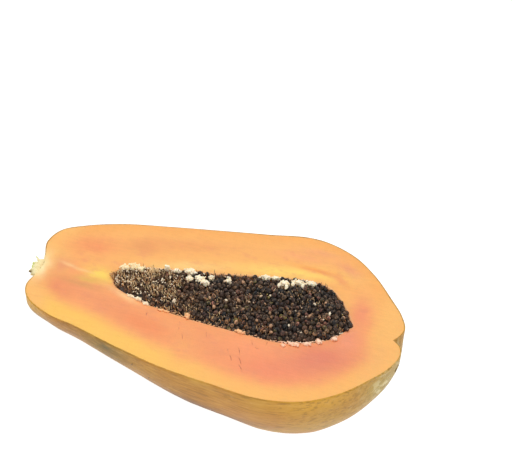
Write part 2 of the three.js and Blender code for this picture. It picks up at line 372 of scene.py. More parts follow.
class Finish:
    """A material with one Principled shader, and methods that add its nodes."""

    def __init__(self, name, **settings):
        self.material = bpy.data.materials.new(name)
        self.material.use_nodes = True
        self.tree = self.material.node_tree
        self.shader = self.tree.nodes["Principled BSDF"]
        for socket, value in settings.items():
            self.shader.inputs[socket.replace("_", " ")].default_value = value

    def node(self, kind, settings=None, inputs=None, output=0):
        """Any node: its own settings first, then the values or links of its inputs. Returns one output."""
        made = self.tree.nodes.new(kind)
        for name, value in (settings or {}).items():
            setattr(made, name, value)
        for name, value in (inputs or {}).items():
            if isinstance(value, Socket):
                self.tree.links.new(value.output, made.inputs[name])
            else:
                made.inputs[name].default_value = value
        return Socket(self, made.outputs[output])

    def fruit_place(self):
        """Object coordinates turned back into the fruit's frame, in millimetres."""
        back = -(FRUIT_PLACE @ FRUIT_TO_PART) / MM
        place = self.node("ShaderNodeTexCoord", output="Object")
        turned = {
            "Vector": place, "Location": back.tolist(), "Rotation": (0, REST_TILT, 0), "Scale": (1 / MM,) * 3,
        }
        return self.node("ShaderNodeMapping", {"vector_type": "POINT"}, turned)

    def attribute(self, name):
        """A number that the mesh carries at each point."""
        return self.node("ShaderNodeAttribute", {"attribute_name": name}, output="Fac")

    def parts(self, vector):
        """x, y and z of a vector."""
        split = self.node("ShaderNodeSeparateXYZ", inputs={0: vector})
        return [Socket(self, output) for output in split.output.node.outputs]

    def stretched(self, vector, scale):
        return self.node("ShaderNodeVectorMath", {"operation": "MULTIPLY"}, {0: vector, 1: scale})

    def noise(self, place, size, detail=3.0, roughness=0.5, distortion=0.0):
        """Cloudy values around 0.5, in lumps of about this size in the units of place."""
        values = {"Vector": place, "Scale": 1 / size, "Detail": detail, "Roughness": roughness}
        values["Distortion"] = distortion
        return self.node("ShaderNodeTexNoise", {"noise_dimensions": "3D"}, values)

    def cells(self, place, size):
        """Distance to the nearest of points scattered about this far apart."""
        values = {"Vector": place, "Scale": 1 / size}
        return self.node("ShaderNodeTexVoronoi", {"feature": "F1"}, values, output="Distance")

    def bent(self, place, size, amount):
        """A place moved by up to half of amount along each axis by noise, so that borders wander."""
        values = {"Vector": place, "Scale": 1 / size, "Detail": 2.0}
        colour = self.node("ShaderNodeTexNoise", {"noise_dimensions": "3D"}, values, output=1)
        grey = (0.5, 0.5, 0.5)
        centred = self.node("ShaderNodeVectorMath", {"operation": "SUBTRACT"}, {0: colour, 1: grey})
        moved = self.node("ShaderNodeVectorMath", {"operation": "SCALE"}, {0: centred, "Scale": amount})
        return self.node("ShaderNodeVectorMath", {"operation": "ADD"}, {0: place, 1: moved})

    def patch(self, place, at, reach, turn=0.0):
        """1 in the middle of an ellipsoid, falling as exp(-r^2), where r is 1 at its reach along each axis.
        It is turned about z by degrees."""
        values = {"Vector": place, "Location": at, "Rotation": (0, 0, math.radians(turn)), "Scale": reach}
        inside = self.node("ShaderNodeMapping", {"vector_type": "TEXTURE"}, values)
        radius = self.node("ShaderNodeVectorMath", {"operation": "LENGTH"}, {0: inside}, output="Value")
        return radius.bell(0, 1)

    def blend(self, share, low, high):
        """A colour: low where share is 0 and high where it is 1. Either may be a hex colour."""
        low, high = (to_linear(c) if isinstance(c, str) else c for c in (low, high))
        settings = {"data_type": "RGBA", "clamp_factor": True}
        return self.node("ShaderNodeMix", settings, {0: share, 6: low, 7: high}, output=2)

    def brighten(self, colour, factor):
        """A colour made brighter or darker by a number that may change over the surface."""
        return self.node("ShaderNodeVectorMath", {"operation": "SCALE"}, {0: colour, "Scale": factor})

    def feed(self, **sockets):
        for name, value in sockets.items():
            self.tree.links.new(value.output, self.shader.inputs[name.replace("_", " ")])

    def bump(self, height, distance):
        """Relief of height times distance, in metres, on the shader's Normal."""
        self.feed(Normal=self.node("ShaderNodeBump", inputs={"Height": height, "Distance": distance}))


# %% [markdown]
# ## Meshes from arrays
#
# Every new piece is a grid of points computed as whole numpy arrays. One helper joins the points of a grid by
# four-sided faces, another puts them into a mesh, merges points that fall together, such as where a grid
# closes at its ends, and turns them into the part's frame.

# %% Mesh helpers
CAD_MARGIN = 0.05 * MM
MERGE_GAP = 0.02 * MM


def grid_faces(rows, columns, wrap):
    """Faces of a grid of rows by columns points. With wrap, the last column joins the first again."""
    row = np.arange(rows - 1)[:, None]
    column = np.arange(columns if wrap else columns - 1)[None, :]
    after = (column + 1) % columns
    corners = [
        row * columns + column, (row + 1) * columns + column,
        (row + 1) * columns + after, row * columns + after,
    ]
    return np.stack([np.broadcast_to(c, (rows - 1, column.size)) for c in corners], axis=-1).reshape(-1, 4)


def value_noise(points, size, seed):
    """Smooth numbers from -1 to 1 in lumps of the given size: repeatable random numbers at the corners of a
    lattice, blended along each axis with the weight 3t^2 - 2t^3."""
    cells = points / size
    corner = np.floor(cells).astype(np.int64)
    t = cells - corner
    t = t * t * (3 - 2 * t)
    total = np.zeros(points.shape[:-1])
    for step in np.ndindex(2, 2, 2):
        at = corner + np.array(step)
        number = (at @ np.array([374761393, 668265263, 1442695041]) + seed * 362437) & 0xFFFFFFFF
        number = ((number ^ (number >> 13)) * 1274126177) & 0xFFFFFFFF
        value = (number ^ (number >> 16)) / 0xFFFFFFFF * 2 - 1
        total += value * np.prod(np.where(step, t, 1 - t), axis=-1)
    return total


def make_piece(name, points, faces, finish, nodes, attributes=None, merge=None):
    """A mesh object from points of the fruit's frame. Points closer than merge become one. It rides on the
    part's only body and stands for the named solids. Attributes hold one number or vector for each point."""
    placed = np.clip(to_part(points), np.array(cad_low) + CAD_MARGIN, np.array(cad_high) - CAD_MARGIN)
    mesh = bpy.data.meshes.new(name)
    sides = faces.shape[1]
    mesh.vertices.add(len(placed))
    mesh.vertices.foreach_set("co", placed.astype(np.float32).ravel())
    mesh.loops.add(faces.size)
    mesh.loops.foreach_set("vertex_index", faces.astype(np.int32).ravel())
    mesh.polygons.add(len(faces))
    mesh.polygons.foreach_set("loop_start", np.arange(0, faces.size, sides, dtype=np.int32))
    mesh.update(calc_edges=True)
    for label, values in (attributes or {}).items():
        kind, field = ("FLOAT", "value") if values.ndim == 1 else ("FLOAT_VECTOR", "vector")
        layer = mesh.attributes.new(label, kind, "POINT")
        layer.data.foreach_set(field, values.astype(np.float32).ravel())
    if merge:
        shape = bmesh.new()
        shape.from_mesh(mesh)
        bmesh.ops.remove_doubles(shape, verts=shape.verts, dist=merge)
        bmesh.ops.dissolve_degenerate(shape, edges=shape.edges, dist=merge)
        bmesh.ops.recalc_face_normals(shape, faces=shape.faces)
        shape.to_mesh(mesh)
        shape.free()
    mesh.polygons.foreach_set("use_smooth", np.ones(len(mesh.polygons), dtype=bool))
    mesh.materials.append(finish.material)
    piece = bpy.data.objects.new(name, mesh)
    bpy.context.scene.collection.objects.link(piece)
    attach(piece, "root")
    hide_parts(*nodes)
    triangles = sum(len(polygon.vertices) - 2 for polygon in mesh.polygons)
    print(f"{name}: {len(mesh.vertices)} points, {triangles} triangles")
    return piece


# %% [markdown]
# ## Skin
#
# The skin is a tough film about a millimetre thick. It could be the outside of the flesh's own mesh, but then
# one material would have to know where the skin ends. As a thin closed shell of its own it keeps a crisp edge
# at the cut. Its section is a loop: the outside, the cut edge, and the inside just under the flesh's surface.
# A short table of low swellings brings its lower edge nearer to the one in the photograph.

# %% Skin shell
RIND = 1.1 * MM
SPINE = (-108 * MM, 92 * MM)
SKIN_ALONG = 300
SKIN_TURNS = 190
SKIN_INNER_TURNS = 60
CUT_DROP = 0.15 * MM
SKIN_SWELLS = [
    # in millimetres: where each is, how far it reaches along each axis, and how high it is
    {"at": (6, -74, -42), "reach": (34, 20, 18), "height": 2.6},
    {"at": (136, -50, -34), "reach": (18, 24, 22), "height": 2.6},
    {"at": (-145, -36, -16), "reach": (12, 14, 12), "height": 2.2},
]


def moved_in(points, inset):
    """Points moved towards the fruit's spine, a stretch of the x axis, by a distance."""
    spine = np.zeros_like(points)
    spine[..., 0] = np.clip(points[..., 0], *SPINE)
    off = points - spine
    length = np.linalg.norm(off, axis=-1, keepdims=True)
    return spine + off * (1 - inset / np.maximum(length, 1e-9))


def skin_relief(points):
    """Broad shallow dents, and finer ones, as on a fruit that has softened. They fade out at the cut."""
    dents = 0.34 * value_noise(points, 30 * MM, 3) + 0.12 * value_noise(points, 9 * MM, 4)
    fine = 0.05 * value_noise(points, 3.2 * MM, 5)
    return (dents + fine - 0.42) * MM * smooth_step(0.5 * MM, 9 * MM, -points[..., 2])


def skin_swell(points):
    """The low swellings of SKIN_SWELLS: each is its height times exp(-r^2), where r is 1 at its reach. They
    fade out at the cut."""
    total = np.zeros(points.shape[:-1])
    for swell in SKIN_SWELLS:
        off = (points / MM - np.array(swell["at"])) / np.array(swell["reach"])
        total += swell["height"] * MM * np.exp(-np.sum(off ** 2, axis=-1))
    return total * smooth_step(0.5 * MM, 9 * MM, -points[..., 2])


def make_skin(finish):
    along = spaced(SKIN_ALONG, 0.5)[:, None]
    outer_turn = np.linspace(0, math.pi, SKIN_TURNS + 1)[None, :]
    inner_turn = np.linspace(math.pi, 0, SKIN_INNER_TURNS + 1)[None, :]
    outer = skin_surface(along + 0 * outer_turn, outer_turn + 0 * along)
    outer = moved_in(outer, -(skin_relief(outer) + skin_swell(outer))[..., None])
    outer[:, [0, -1], 2] = -0.35 * MM
    inner = moved_in(skin_surface(along + 0 * inner_turn, inner_turn + 0 * along), RIND)
    inner[:, [0, -1], 2] = -CUT_DROP
    near_edge = mix(outer[:, -1:], inner[:, :1], 0.35)
    far_edge = mix(inner[:, -1:], outer[:, :1], 0.65)
    near_edge[..., 2] = -CUT_DROP
    far_edge[..., 2] = -CUT_DROP
    loop = np.concatenate([outer, near_edge, inner, far_edge], axis=1)
    rows, columns = loop.shape[:2]
    points = loop.reshape(-1, 3)
    faces = grid_faces(rows, columns, True)
    make_piece("papaya_skin", points, faces, finish, ["papaya_half"], merge=MERGE_GAP)


# %% [markdown]
# ## Finish of the skin
#
# Ripe papaya skin is a waxy yellow that still holds green in places, with faint streaks down its length, pale
# scuffs, and dark specks where latex has dried. Patches with a place of their own come from a table: each is
# an ellipsoid in the fruit's frame, with a colour and a strength. The dark brown one low on the near side,
# where the skin turns under, is painted shade. Streaks use noise that is stretched along the fruit, and specks
# come from scattered points, kept only where a second noise lets them through, so that they gather in drifts.

# %% Skin finish
SKIN_PATCHES = [
    {"at": (-144, -42, -6), "reach": (14, 20, 8), "colour": "#cb9a38", "strength": 1.1},
    {"at": (-130, -44, -18), "reach": (22, 20, 9), "colour": "#94702f", "strength": 1.0},
    {"at": (-105, -57, -10), "reach": (20, 22, 16), "colour": "#a5743c", "strength": 1.0},
    {"at": (-70, -68, -14), "reach": (24, 24, 20), "colour": "#81652a", "strength": 1.2},
    {"at": (-71, -70, -9), "reach": (4, 7, 4), "colour": "#4f5335", "strength": 0.9},
    {"at": (-25, -76, -26), "reach": (34, 30, 20), "colour": "#ab7a34", "strength": 0.9},
    # painted shade: darker low on the near side, where the skin turns under
    {"at": (10, -72, -48), "reach": (44, 18, 14), "colour": "#5e3a2c", "strength": 1.5},
    {"at": (45, -82, -30), "reach": (34, 34, 20), "colour": "#b8803c", "strength": 0.8},
    {"at": (108, -80, -6), "reach": (40, 30, 11), "colour": "#cf9a37", "strength": 1.1},
    {"at": (118, -62, -34), "reach": (26, 30, 18), "colour": "#b58a39", "strength": 0.9},
    {"at": (146, -34, -14), "reach": (12, 20, 14), "colour": "#c3a24e", "strength": 0.8},
    {"at": (30, 84, -40), "reach": (60, 40, 34), "colour": "#9a8b3d", "strength": 0.6},
    {"at": (-90, 50, -30), "reach": (40, 30, 30), "colour": "#847c38", "strength": 0.6},
    {"at": (60, 10, -95), "reach": (70, 50, 40), "colour": "#c98a42", "strength": 0.6},
    {"at": (-148, 0, -24), "reach": (10, 24, 16), "colour": "#8a8440", "strength": 0.7},
    {"at": (-147, -3, 0), "reach": (7, 15, 5), "colour": "#f3dda6", "strength": 1.6},
]
SCUFF_PATCH = {"at": (150, -22, -22), "reach": (17, 34, 24)}


def finish_skin():
    finish = Finish("ripe_skin", Roughness=0.42, Specular_IOR_Level=0.14)
    place = finish.fruit_place()
    z = finish.parts(place)[2]
    clouds = finish.noise(place, 46, detail=4)
    mottle = finish.noise(place, 9, detail=5, roughness=0.6)
    streaks = finish.noise(finish.stretched(place, (0.1, 1, 1)), 2.4, detail=4, roughness=0.65)
    scuffs = finish.noise(finish.stretched(place, (0.5, 1, 1)), 5, detail=6, roughness=0.75)
    colour = finish.blend(clouds.rise(0.36, 0.64), "#b78138", "#c0903f")
    wandering = finish.bent(place, 12, 8)
    for spot in SKIN_PATCHES:
        share = finish.patch(wandering, spot["at"], spot["reach"]) * (mottle * 0.8 + 0.6) * spot["strength"]
        colour = finish.blend(share, colour, spot["colour"])
    green = (clouds * 0.75 + mottle * 0.35 + streaks * 0.35).rise(0.72, 0.9)
    colour = finish.blend(green * z.rise(-34, -70) * 0.6, colour, "#8b8a3a")
    blossom = finish.patch(wandering, SCUFF_PATCH["at"], SCUFF_PATCH["reach"])
    colour = finish.blend(blossom * 0.75, colour, "#a08f48")
    colour = finish.blend(streaks.rise(0.5, 0.64) * 0.5, colour, "#875f2a")
    colour = finish.blend(streaks.rise(0.48, 0.34) * 0.35, colour, "#cfa04f")
    colour = finish.blend(mottle.rise(0.54, 0.72) * 0.25, colour, "#cfa25a")
    pale = scuffs.rise(0.60, 0.72) * 0.15 + (scuffs * 0.6 + mottle * 0.4).rise(0.48, 0.58) * blossom * 0.9
    colour = finish.blend(pale, colour, "#e0d0a0")
    drifts = finish.noise(place, 24, detail=2).rise(0.52, 0.68) * z.rise(-22, -44)
    specks = finish.cells(place, 3.4).rise(0.24, 0.1) * drifts
    colour = finish.blend(specks * 0.7, colour, "#5d4a20")
    finish.feed(Base_Color=colour, Roughness=mottle * 0.22 + 0.3 + pale * 0.15)
    finish.bump(mottle * 0.5 + streaks * 0.4 - specks * 0.5 + pale * 0.25, 0.4 * MM)
    return finish


make_skin(finish_skin())

# %% [markdown]
# ## Flesh
#
# Flesh fills the space between the skin and the seed cavity. A section across it is a C, and its outline is a
# closed loop: under the skin from the far side to the near side, over the near half of the cut face, down and
# up the cavity's wall, and back over the far half. Carrying that loop along the fruit gives one closed grid,
# which shrinks to a line at both ends.

# %% Flesh body
FLESH_ALONG = 330
FLESH_UNDER_TURNS = 34
FLESH_FACE_STEPS = 74
FLESH_WALL_TURNS = 30
FLESH_INSET = 0.85 * MM
CAVITY_DEPTH_SHARE = 0.92
RIM_ROUND = 1.4 * MM
EDGE_ROUND = 0.5 * MM
LINE_SAMPLES = 700


def rims(along):
    """The far and the near rim of the cavity, as points of the cut face."""
    rows = [curve_through(rim, along) for rim in (CAVITY_FAR_RIM, CAVITY_NEAR_RIM)]
    return [np.concatenate([row, np.zeros((*row.shape[:-1], 1))], axis=-1) for row in rows]


def outline_points(along):
    """The far and the near end of the flesh on the cut face, just inside the skin."""
    turns = [np.zeros_like(along), np.full_like(along, math.pi)]
    return [moved_in(skin_surface(along, turn), FLESH_INSET) for turn in turns]


def cavity_wall(along, turn):
    """Half an ellipse hung between the rims: the middle, plus half the width times cos turn across, and
    CAVITY_DEPTH_SHARE times half the width times sin turn down."""
    far, near = rims(along)
    half = np.linalg.norm(far - near, axis=-1) / 2
    wall = (far + near) / 2 + (far - near) / 2 * np.cos(turn)[..., None]
    wall[..., 2] = -half * CAVITY_DEPTH_SHARE * np.sin(turn)
    return wall


def distance_to_line(points, line):
    """Distance on the cut face from each point to the nearest of a line's points."""
    nearest = np.full(len(points), np.inf)
    for x, y in line:
        np.minimum(nearest, np.hypot(points[:, 0] - x, points[:, 1] - y), out=nearest)
    return nearest


def rounded_edge(distance, radius):
    """How far a rounded edge drops: radius minus the height of a quarter circle at that distance."""
    inside = np.clip(1 - distance / radius, 0, 1)
    return radius * (1 - np.sqrt(1 - inside ** 2 * 0.999))


def face_relief(points):
    """A knife leaves a cut face almost flat: low waves and a fine grain."""
    waves = 0.16 * value_noise(points, 26 * MM, 11) + 0.09 * value_noise(points, 8 * MM, 12)
    return (waves + 0.035 * value_noise(points, 2.4 * MM, 13)) * MM


def make_flesh(finish):
    along = spaced(FLESH_ALONG, 0.5)[:, None]
    under_turn = np.linspace(0, math.pi, FLESH_UNDER_TURNS + 1)[None, 1:-1]
    wall_turn = np.linspace(math.pi, 0, FLESH_WALL_TURNS + 1)[None, 1:-1]
    across = spaced(FLESH_FACE_STEPS, 0.55)[None, :, None]
    under = moved_in(skin_surface(along + 0 * under_turn, under_turn + 0 * along), FLESH_INSET)
    far_rim, near_rim = rims(along)
    far_edge, near_edge = outline_points(along)
    near_face = mix(near_edge, near_rim, across)
    far_face = mix(far_rim, far_edge, across)
    wall = cavity_wall(along + 0 * wall_turn, wall_turn + 0 * along)
    loop = np.concatenate([under, near_face, wall, far_face], axis=1)
    rows, columns = loop.shape[:2]
    points = loop.reshape(-1, 3)
    fine = np.linspace(0, 1, LINE_SAMPLES)
    rim_line = np.concatenate(rims(fine))[:, :2]
    edge_line = np.concatenate(outline_points(fine))[:, :2]
    from_rim = distance_to_line(points, rim_line)
    from_skin = distance_to_line(points, edge_line)
    on_face = points[:, 2] > -1e-9
    drop = rounded_edge(from_rim, RIM_ROUND) + rounded_edge(from_skin, EDGE_ROUND)
    points[:, 2] += np.where(on_face, face_relief(points) - drop, 0)
    from_rim[~on_face] = 0
    attributes = {"from_rim": from_rim / MM, "from_skin": from_skin / MM}
    faces = grid_faces(rows, columns, True)
    make_piece("papaya_flesh", points, faces, finish, ["papaya_half"], attributes, merge=MERGE_GAP)


# %% [markdown]
# ## Finish of the flesh
#
# Flesh ripens from the cavity outwards, so its colour is a function of two distances, which the mesh carries
# as attributes: how far a place is from the skin, and from the rim. Next to the skin it is yellow, then
# orange, and salmon pink on the near side. A table adds the places where this fruit ripened its own way: each
# is an ellipse on the cut face. Noise bends every border, because none of them is drawn with a rule.

# %% Flesh finish
DEEP = 1000.0
FLESH_PATCHES = [
    {"name": "far stem end", "at": (-114, 31, 0), "reach": (22, 11, DEEP), "turn": 10, "tint": "#e69259"},
    {"name": "far side, neck", "at": (-72, 44, 0), "reach": (15, 8, DEEP), "turn": 15, "tint": "#da8f57"},
    {"name": "far side, middle", "at": (-42, 53, 0), "reach": (44, 7, DEEP), "turn": 12, "tint": "#e49d5a"},
    {"name": "behind the stalk", "at": (-132, 2, 0), "reach": (8, 10, DEEP), "turn": 0, "tint": "#df9662"},
    {"name": "near stem end", "at": (-126, -19, 0), "reach": (15, 10, DEEP), "turn": -15, "tint": "#df8856"},
    {"name": "near neck", "at": (-80, -29, 0), "reach": (54, 9.5, DEEP), "turn": -17, "tint": "#e3915e"},
    {"name": "neck's ripest", "at": (-46, -41, 0), "reach": (22, 8, DEEP), "turn": -16, "tint": "#e58a55"},
    {"name": "near middle", "at": (13, -47, 0), "reach": (26, 15, DEEP), "turn": -10, "tint": "#e4925e"},
    {"name": "paler bridge", "at": (-9, -58, 0), "reach": (9, 11, DEEP), "turn": 10, "tint": "#ea9f5e"},
    {"name": "belly's near rim", "at": (45, -42, 0), "reach": (26, 12, DEEP), "turn": -5, "tint": "#ec9463"},
    {"name": "belly's edge", "at": (62, -58, 0), "reach": (36, 14, DEEP), "turn": 6, "tint": "#e7895f"},
    {"name": "ripe belly", "at": (98, -36, 0), "reach": (32, 16, DEEP), "turn": 24, "tint": "#d97d5f"},
    {"name": "below the blossom", "at": (114, -11, 0), "reach": (9, 14, DEEP), "turn": 0, "tint": "#e58f6a"},
    {"name": "blossom end", "at": (118, 20, 0), "reach": (9, 18, DEEP), "turn": 12, "tint": "#e79063"},
    {"name": "far belly", "at": (57, 68, 0), "reach": (24, 4.5, DEEP), "turn": 2, "tint": "#eaa266"},
    {"name": "far belly, ripest", "at": (98, 64, 0), "reach": (13, 6, DEEP), "turn": -28, "tint": "#e39866"},
    {"name": "far belly, outside", "at": (70, 77, 0), "reach": (18, 4.2, DEEP), "turn": 0, "tint": "#e7a066"},
    {"name": "yellow far rim", "at": (48, 48, 0), "reach": (46, 6.5, DEEP), "turn": 9, "tint": "#f0c866"},
    {"name": "line outside it", "at": (72, 56.5, 0), "reach": (19, 2.8, DEEP), "turn": -3, "tint": "#e89b4e"},
    {"name": "end of that line", "at": (93, 51, 0), "reach": (11, 3, DEEP), "turn": -34, "tint": "#e8a05a"},
    {"name": "cream far rim", "at": (-36, 30, 0), "reach": (32, 5, DEEP), "turn": 14, "tint": "#eec074"},
    {"name": "yellow at the tip", "at": (-98, 1, 0), "reach": (13, 8, DEEP), "turn": -8, "tint": "#edc85a"},
    {"name": "duller below it", "at": (-105, -7, 0), "reach": (13, 3.5, DEEP), "turn": 0, "tint": "#dba855"},
    {"name": "pale strand", "at": (-125, 4.2, 0), "reach": (9, 1.6, DEEP), "turn": -14, "tint": "#ebb47b"},
    {"name": "second strand", "at": (-112, 1.6, 0), "reach": (8, 1.2, DEEP), "turn": -4, "tint": "#ebb673"},
    {"name": "dull strand", "at": (-110, -13, 0), "reach": (17, 3.2, DEEP), "turn": -4, "tint": "#d59258"},
    {"name": "round the stalk", "at": (-148, -3, 0), "reach": (6, 13, DEEP), "turn": 0, "tint": "#f3dda6"},
    {"name": "cream near rim", "at": (-72, -15.5, 0), "reach": (14, 3, DEEP), "turn": -22, "tint": "#eeb980"},
]
PATCH_STRENGTH = 1.05


def finish_flesh():
    finish = Finish(
        "ripe_flesh", Specular_IOR_Level=0.35, Subsurface_Weight=0.12, Subsurface_Scale=0.004,
        Subsurface_Radius=(1.0, 0.45, 0.2),
    )
    place = finish.fruit_place()
    x, y = finish.parts(place)[:2]
    clouds = finish.noise(place, 30, detail=3)
    mottle = finish.noise(place, 7, detail=5, roughness=0.6)
    fibres = finish.noise(finish.stretched(place, (0.12, 1, 1)), 2.2, detail=3, roughness=0.6)
    grain = finish.noise(place, 1.3, detail=3)
    from_skin = finish.attribute("from_skin") + (clouds - 0.5) * 8 + (mottle - 0.5) * 3
    from_rim = finish.attribute("from_rim") + (mottle - 0.5) * 2
    ring = finish.blend(x.rise(-60, 60), "#eeb857", "#edaf5d")
    near = finish.blend(from_skin.rise(9, 26), ring, "#ea9a5f")
    far = finish.blend(from_skin.rise(1, 15), "#eaa457", "#ecaa5f")
    colour = finish.blend(y.rise(-6, 26), near, far)
    colour = finish.blend(x.absolute().rise(122, 140), colour, "#ecb062")
    wandering, steady = finish.bent(place, 11, 7), finish.bent(place, 9, 2.2)
    for spot in FLESH_PATCHES:
        where = steady if spot["reach"][1] < 4 else wandering
        share = finish.patch(where, spot["at"], spot["reach"], spot["turn"]) * PATCH_STRENGTH
        colour = finish.blend(share, colour, spot["tint"])
    blotches = finish.noise(finish.stretched(place, (0.6, 1, 1)), 10, detail=4, roughness=0.65)
    inside = from_skin.rise(10, 22) * from_rim.rise(1, 6)
    colour = finish.blend(blotches.rise(0.5, 0.68) * inside * 0.3, colour, "#dc8763")
    colour = finish.blend(from_rim.rise(2.4, 0.4) * 0.5, colour, "#eeb88a")
    even = (mottle - 0.5) * 0.13 + (clouds - 0.5) * 0.05 + (fibres - 0.5) * 0.13 + (grain - 0.5) * 0.09
    colour = finish.brighten(colour, even + 1)
    finish.feed(Base_Color=colour, Roughness=mottle * 0.25 + grain * 0.12 + 0.28)
    finish.bump(mottle * 0.35 + fibres * 0.35 + grain * 0.4, 0.3 * MM)
    return finish


make_flesh(finish_flesh())

# %% [markdown]
# ## Seeds
#
# A papaya holds more than a thousand seeds, each a wrinkled dark bean in a clear jelly coat. Copies of one
# object would be light, but the exported model drops instances, so all seeds are computed at once into one
# mesh: every seed is the same small ball of 80 faces, stretched, dented by noise, turned by its own random
# rotation and moved to its place. Three staggered layers over a dark core leave no hole to look through. The
# curds of the pale placenta lie among them, so their places come first, and the top layer leaves them room.

# %% Where the curds lie
CURDS_FAR = MM * np.array([
    # x, y, z, and half of its size along, across and up
    [-80, 13.0, 2.0, 4.4, 2.8, 2.4], [-73, 15.0, 2.6, 5.0, 3.2, 2.8], [-67, 14.2, 2.6, 3.4, 2.6, 2.4],
    [-46.7, 21.0, 3.0, 2.2, 1.8, 3.4], [-38.4, 21.4, 1.8, 3.2, 1.6, 2.0], [-27.3, 22.6, 2.8, 5.2, 2.8, 3.4],
    [-25.2, 13.3, 5.0, 2.8, 1.9, 2.0], [-17.3, 15.4, 4.6, 4.6, 2.8, 2.4], [-11.6, 12.8, 4.8, 3.0, 2.4, 2.2],
    [-8.4, 20.5, 3.2, 2.1, 2.0, 2.8], [5.8, 20.9, 4.2, 2.6, 2.4, 3.0], [33.5, 34.2, 3.0, 3.6, 2.2, 2.3],
    [41, 37.0, 1.8, 4.4, 1.3, 1.6], [50, 31.5, 4.2, 4.0, 2.5, 2.4], [46.6, 27.4, 4.8, 0.9, 2.0, 1.2],
    [53, 27.2, 4.8, 1.0, 2.4, 1.2], [60.5, 36.6, 2.8, 4.8, 2.2, 2.2], [57, 32.6, 3.8, 1.1, 1.8, 1.2],
    [65.2, 33.0, 3.8, 0.9, 2.0, 1.2], [70.5, 38.4, 2.8, 4.4, 1.8, 2.0],
])
CURDS_NEAR = MM * np.array([
    [-66, -14.8, 0.2, 3.4, 0.8, 0.8], [-59, -16.6, 0.9, 3.4, 1.5, 1.3],
    [-51.5, -19.2, 0.6, 3.0, 1.3, 1.1], [-37, -22.4, 0.4, 5.0, 0.9, 0.9], [-15.5, -23.2, 1.4, 1.9, 2.1, 1.8],
    [29.5, -26.8, 0.8, 3.6, 1.6, 1.5], [66, -31.0, 0.4, 1.7, 1.4, 1.0], [74, -27.6, 0.7, 6.0, 1.6, 1.5],
    [84, -24.2, 0.7, 3.4, 1.4, 1.3], [92.5, -19.6, 0.9, 2.8, 1.9, 1.6], [103, -13.0, 0.8, 3.0, 2.0, 1.4],
])


def clear_of_curds(x, y, margin):
    """True where a place lies outside every curd of the far side, each an ellipse widened by margin, and
    moved by 1 mm towards the viewer, whom a seed in front of it would hide it from."""
    off = np.stack([x[:, None] - CURDS_FAR[:, 0], y[:, None] - CURDS_FAR[:, 1] + 1 * MM])
    return np.all(np.sum((off / (CURDS_FAR[:, 3:5].T[:, None] + margin)) ** 2, axis=0) > 1, axis=1)


# %% Heap of seeds: where the seeds lie
SEED_STEM_END = -86 * MM
HEAP_TOP = 3.2 * MM
HEAP_EDGE = -1.0 * MM
SEED_SPACING = 4.2 * MM
SEED_LAYERS = 3
LAYER_STEP = 3.0 * MM
SEED_SCATTER = 0.8 * MM
SEED_LIFT = 0.65 * MM
SEED_RADII = np.array([2.0, 1.9, 2.9]) * MM
SEED_TIP = np.array([0.0, -0.1, 1.0])
SEED_WALL = 1.0 * MM
SEED_DEPTH = 5.0 * MM
BRIGHT_SIDE = np.array([0.1, -0.5, 0.85])


def rim_heights(x):
    """y of the far and the near rim of the cavity at each x."""
    share = np.linspace(0, 1, 400)
    lines = [curve_through(rim, share) for rim in (CAVITY_FAR_RIM, CAVITY_NEAR_RIM)]
    return [np.interp(x, line[:, 0], line[:, 1]) for line in lines]


def heap_height(x, y):
    """The heap's top: HEAP_EDGE at the rim, rising to HEAP_TOP as 1 - off^4, where off is 1 at the rim."""
    far, near = rim_heights(x)
    half = np.maximum((far - near) / 2, 1e-6)
    off = np.clip(np.abs(y - (far + near) / 2) / half, 0, 1)
    narrow = np.clip(half / (14 * MM), 0, 1)
    return HEAP_EDGE + (HEAP_TOP - HEAP_EDGE) * (1 - off ** 4) * narrow


def seed_centres(random):
    """A staggered grid for each layer, scattered a little, kept where the cavity is wide enough."""
    layers = []
    row_step = SEED_SPACING * math.sqrt(3) / 2
    for layer in range(SEED_LAYERS):
        column, row = np.meshgrid(np.arange(-22, 28), np.arange(-9, 14))
        x = (column + (row % 2) / 2 + layer / 3) * SEED_SPACING
        y = (row + layer / 2) * row_step
        x, y = np.stack([x.ravel(), y.ravel()]) + random.normal(0, SEED_SCATTER, (2, x.size))
        far, near = rim_heights(x)
        between = (x > SEED_STEM_END) & (x < CAVITY_FAR_RIM[-1, 0])
        inside = between & (y < far - SEED_WALL) & (y > near + SEED_WALL)
        if layer == 0:
            inside &= clear_of_curds(x, y, 0.8 * MM)
        x, y = x[inside], y[inside]
        z = heap_height(x, y) - layer * LAYER_STEP + random.normal(0, SEED_LIFT, x.size)
        layers.append(np.stack([x, y, z], axis=-1))
    return np.concatenate(layers)


def ball(subdivisions):
    """Points and three-sided faces of a unit ball made from an icosahedron."""
    shape = bmesh.new()
    bmesh.ops.create_icosphere(shape, subdivisions=subdivisions, radius=1.0)
    points = np.array([vertex.co for vertex in shape.verts])
    faces = np.array([[vertex.index for vertex in face.verts] for face in shape.faces])
    shape.free()
    return points, faces


def unit(vectors):
    """Vectors of the same directions and length 1."""
    return vectors / np.linalg.norm(vectors, axis=-1, keepdims=True)


def turns_towards(tips, random):
    """Rotation matrices that turn z to each tip. The two other columns are cross products with a random
    direction, so that each is spun about its tip at random."""
    side = unit(np.cross(unit(random.normal(size=tips.shape)), tips))
    return np.stack([side, np.cross(tips, side), tips], axis=-1)


def copies(shape, centres, radii, turns, dent=0.0):
    """Points and faces of many balls: the unit ball's points times each one's radii, turned, and moved to its
    centre. dent is how far noise pulls the points in or out, as a share of the radius."""
    points, faces = shape
    wobble = 1 + dent * value_noise(points[None] * 1.4 + centres[:, None] / MM * 0.7, 1.0, 31)
    local = points[None] * radii[:, None, :] * wobble[..., None]
    placed = np.einsum("nij,nkj->nki", turns, local) + centres[:, None, :]
    shifted = faces[None] + (np.arange(len(centres)) * len(points))[:, None, None]
    return placed.reshape(-1, 3), shifted.reshape(-1, 3)
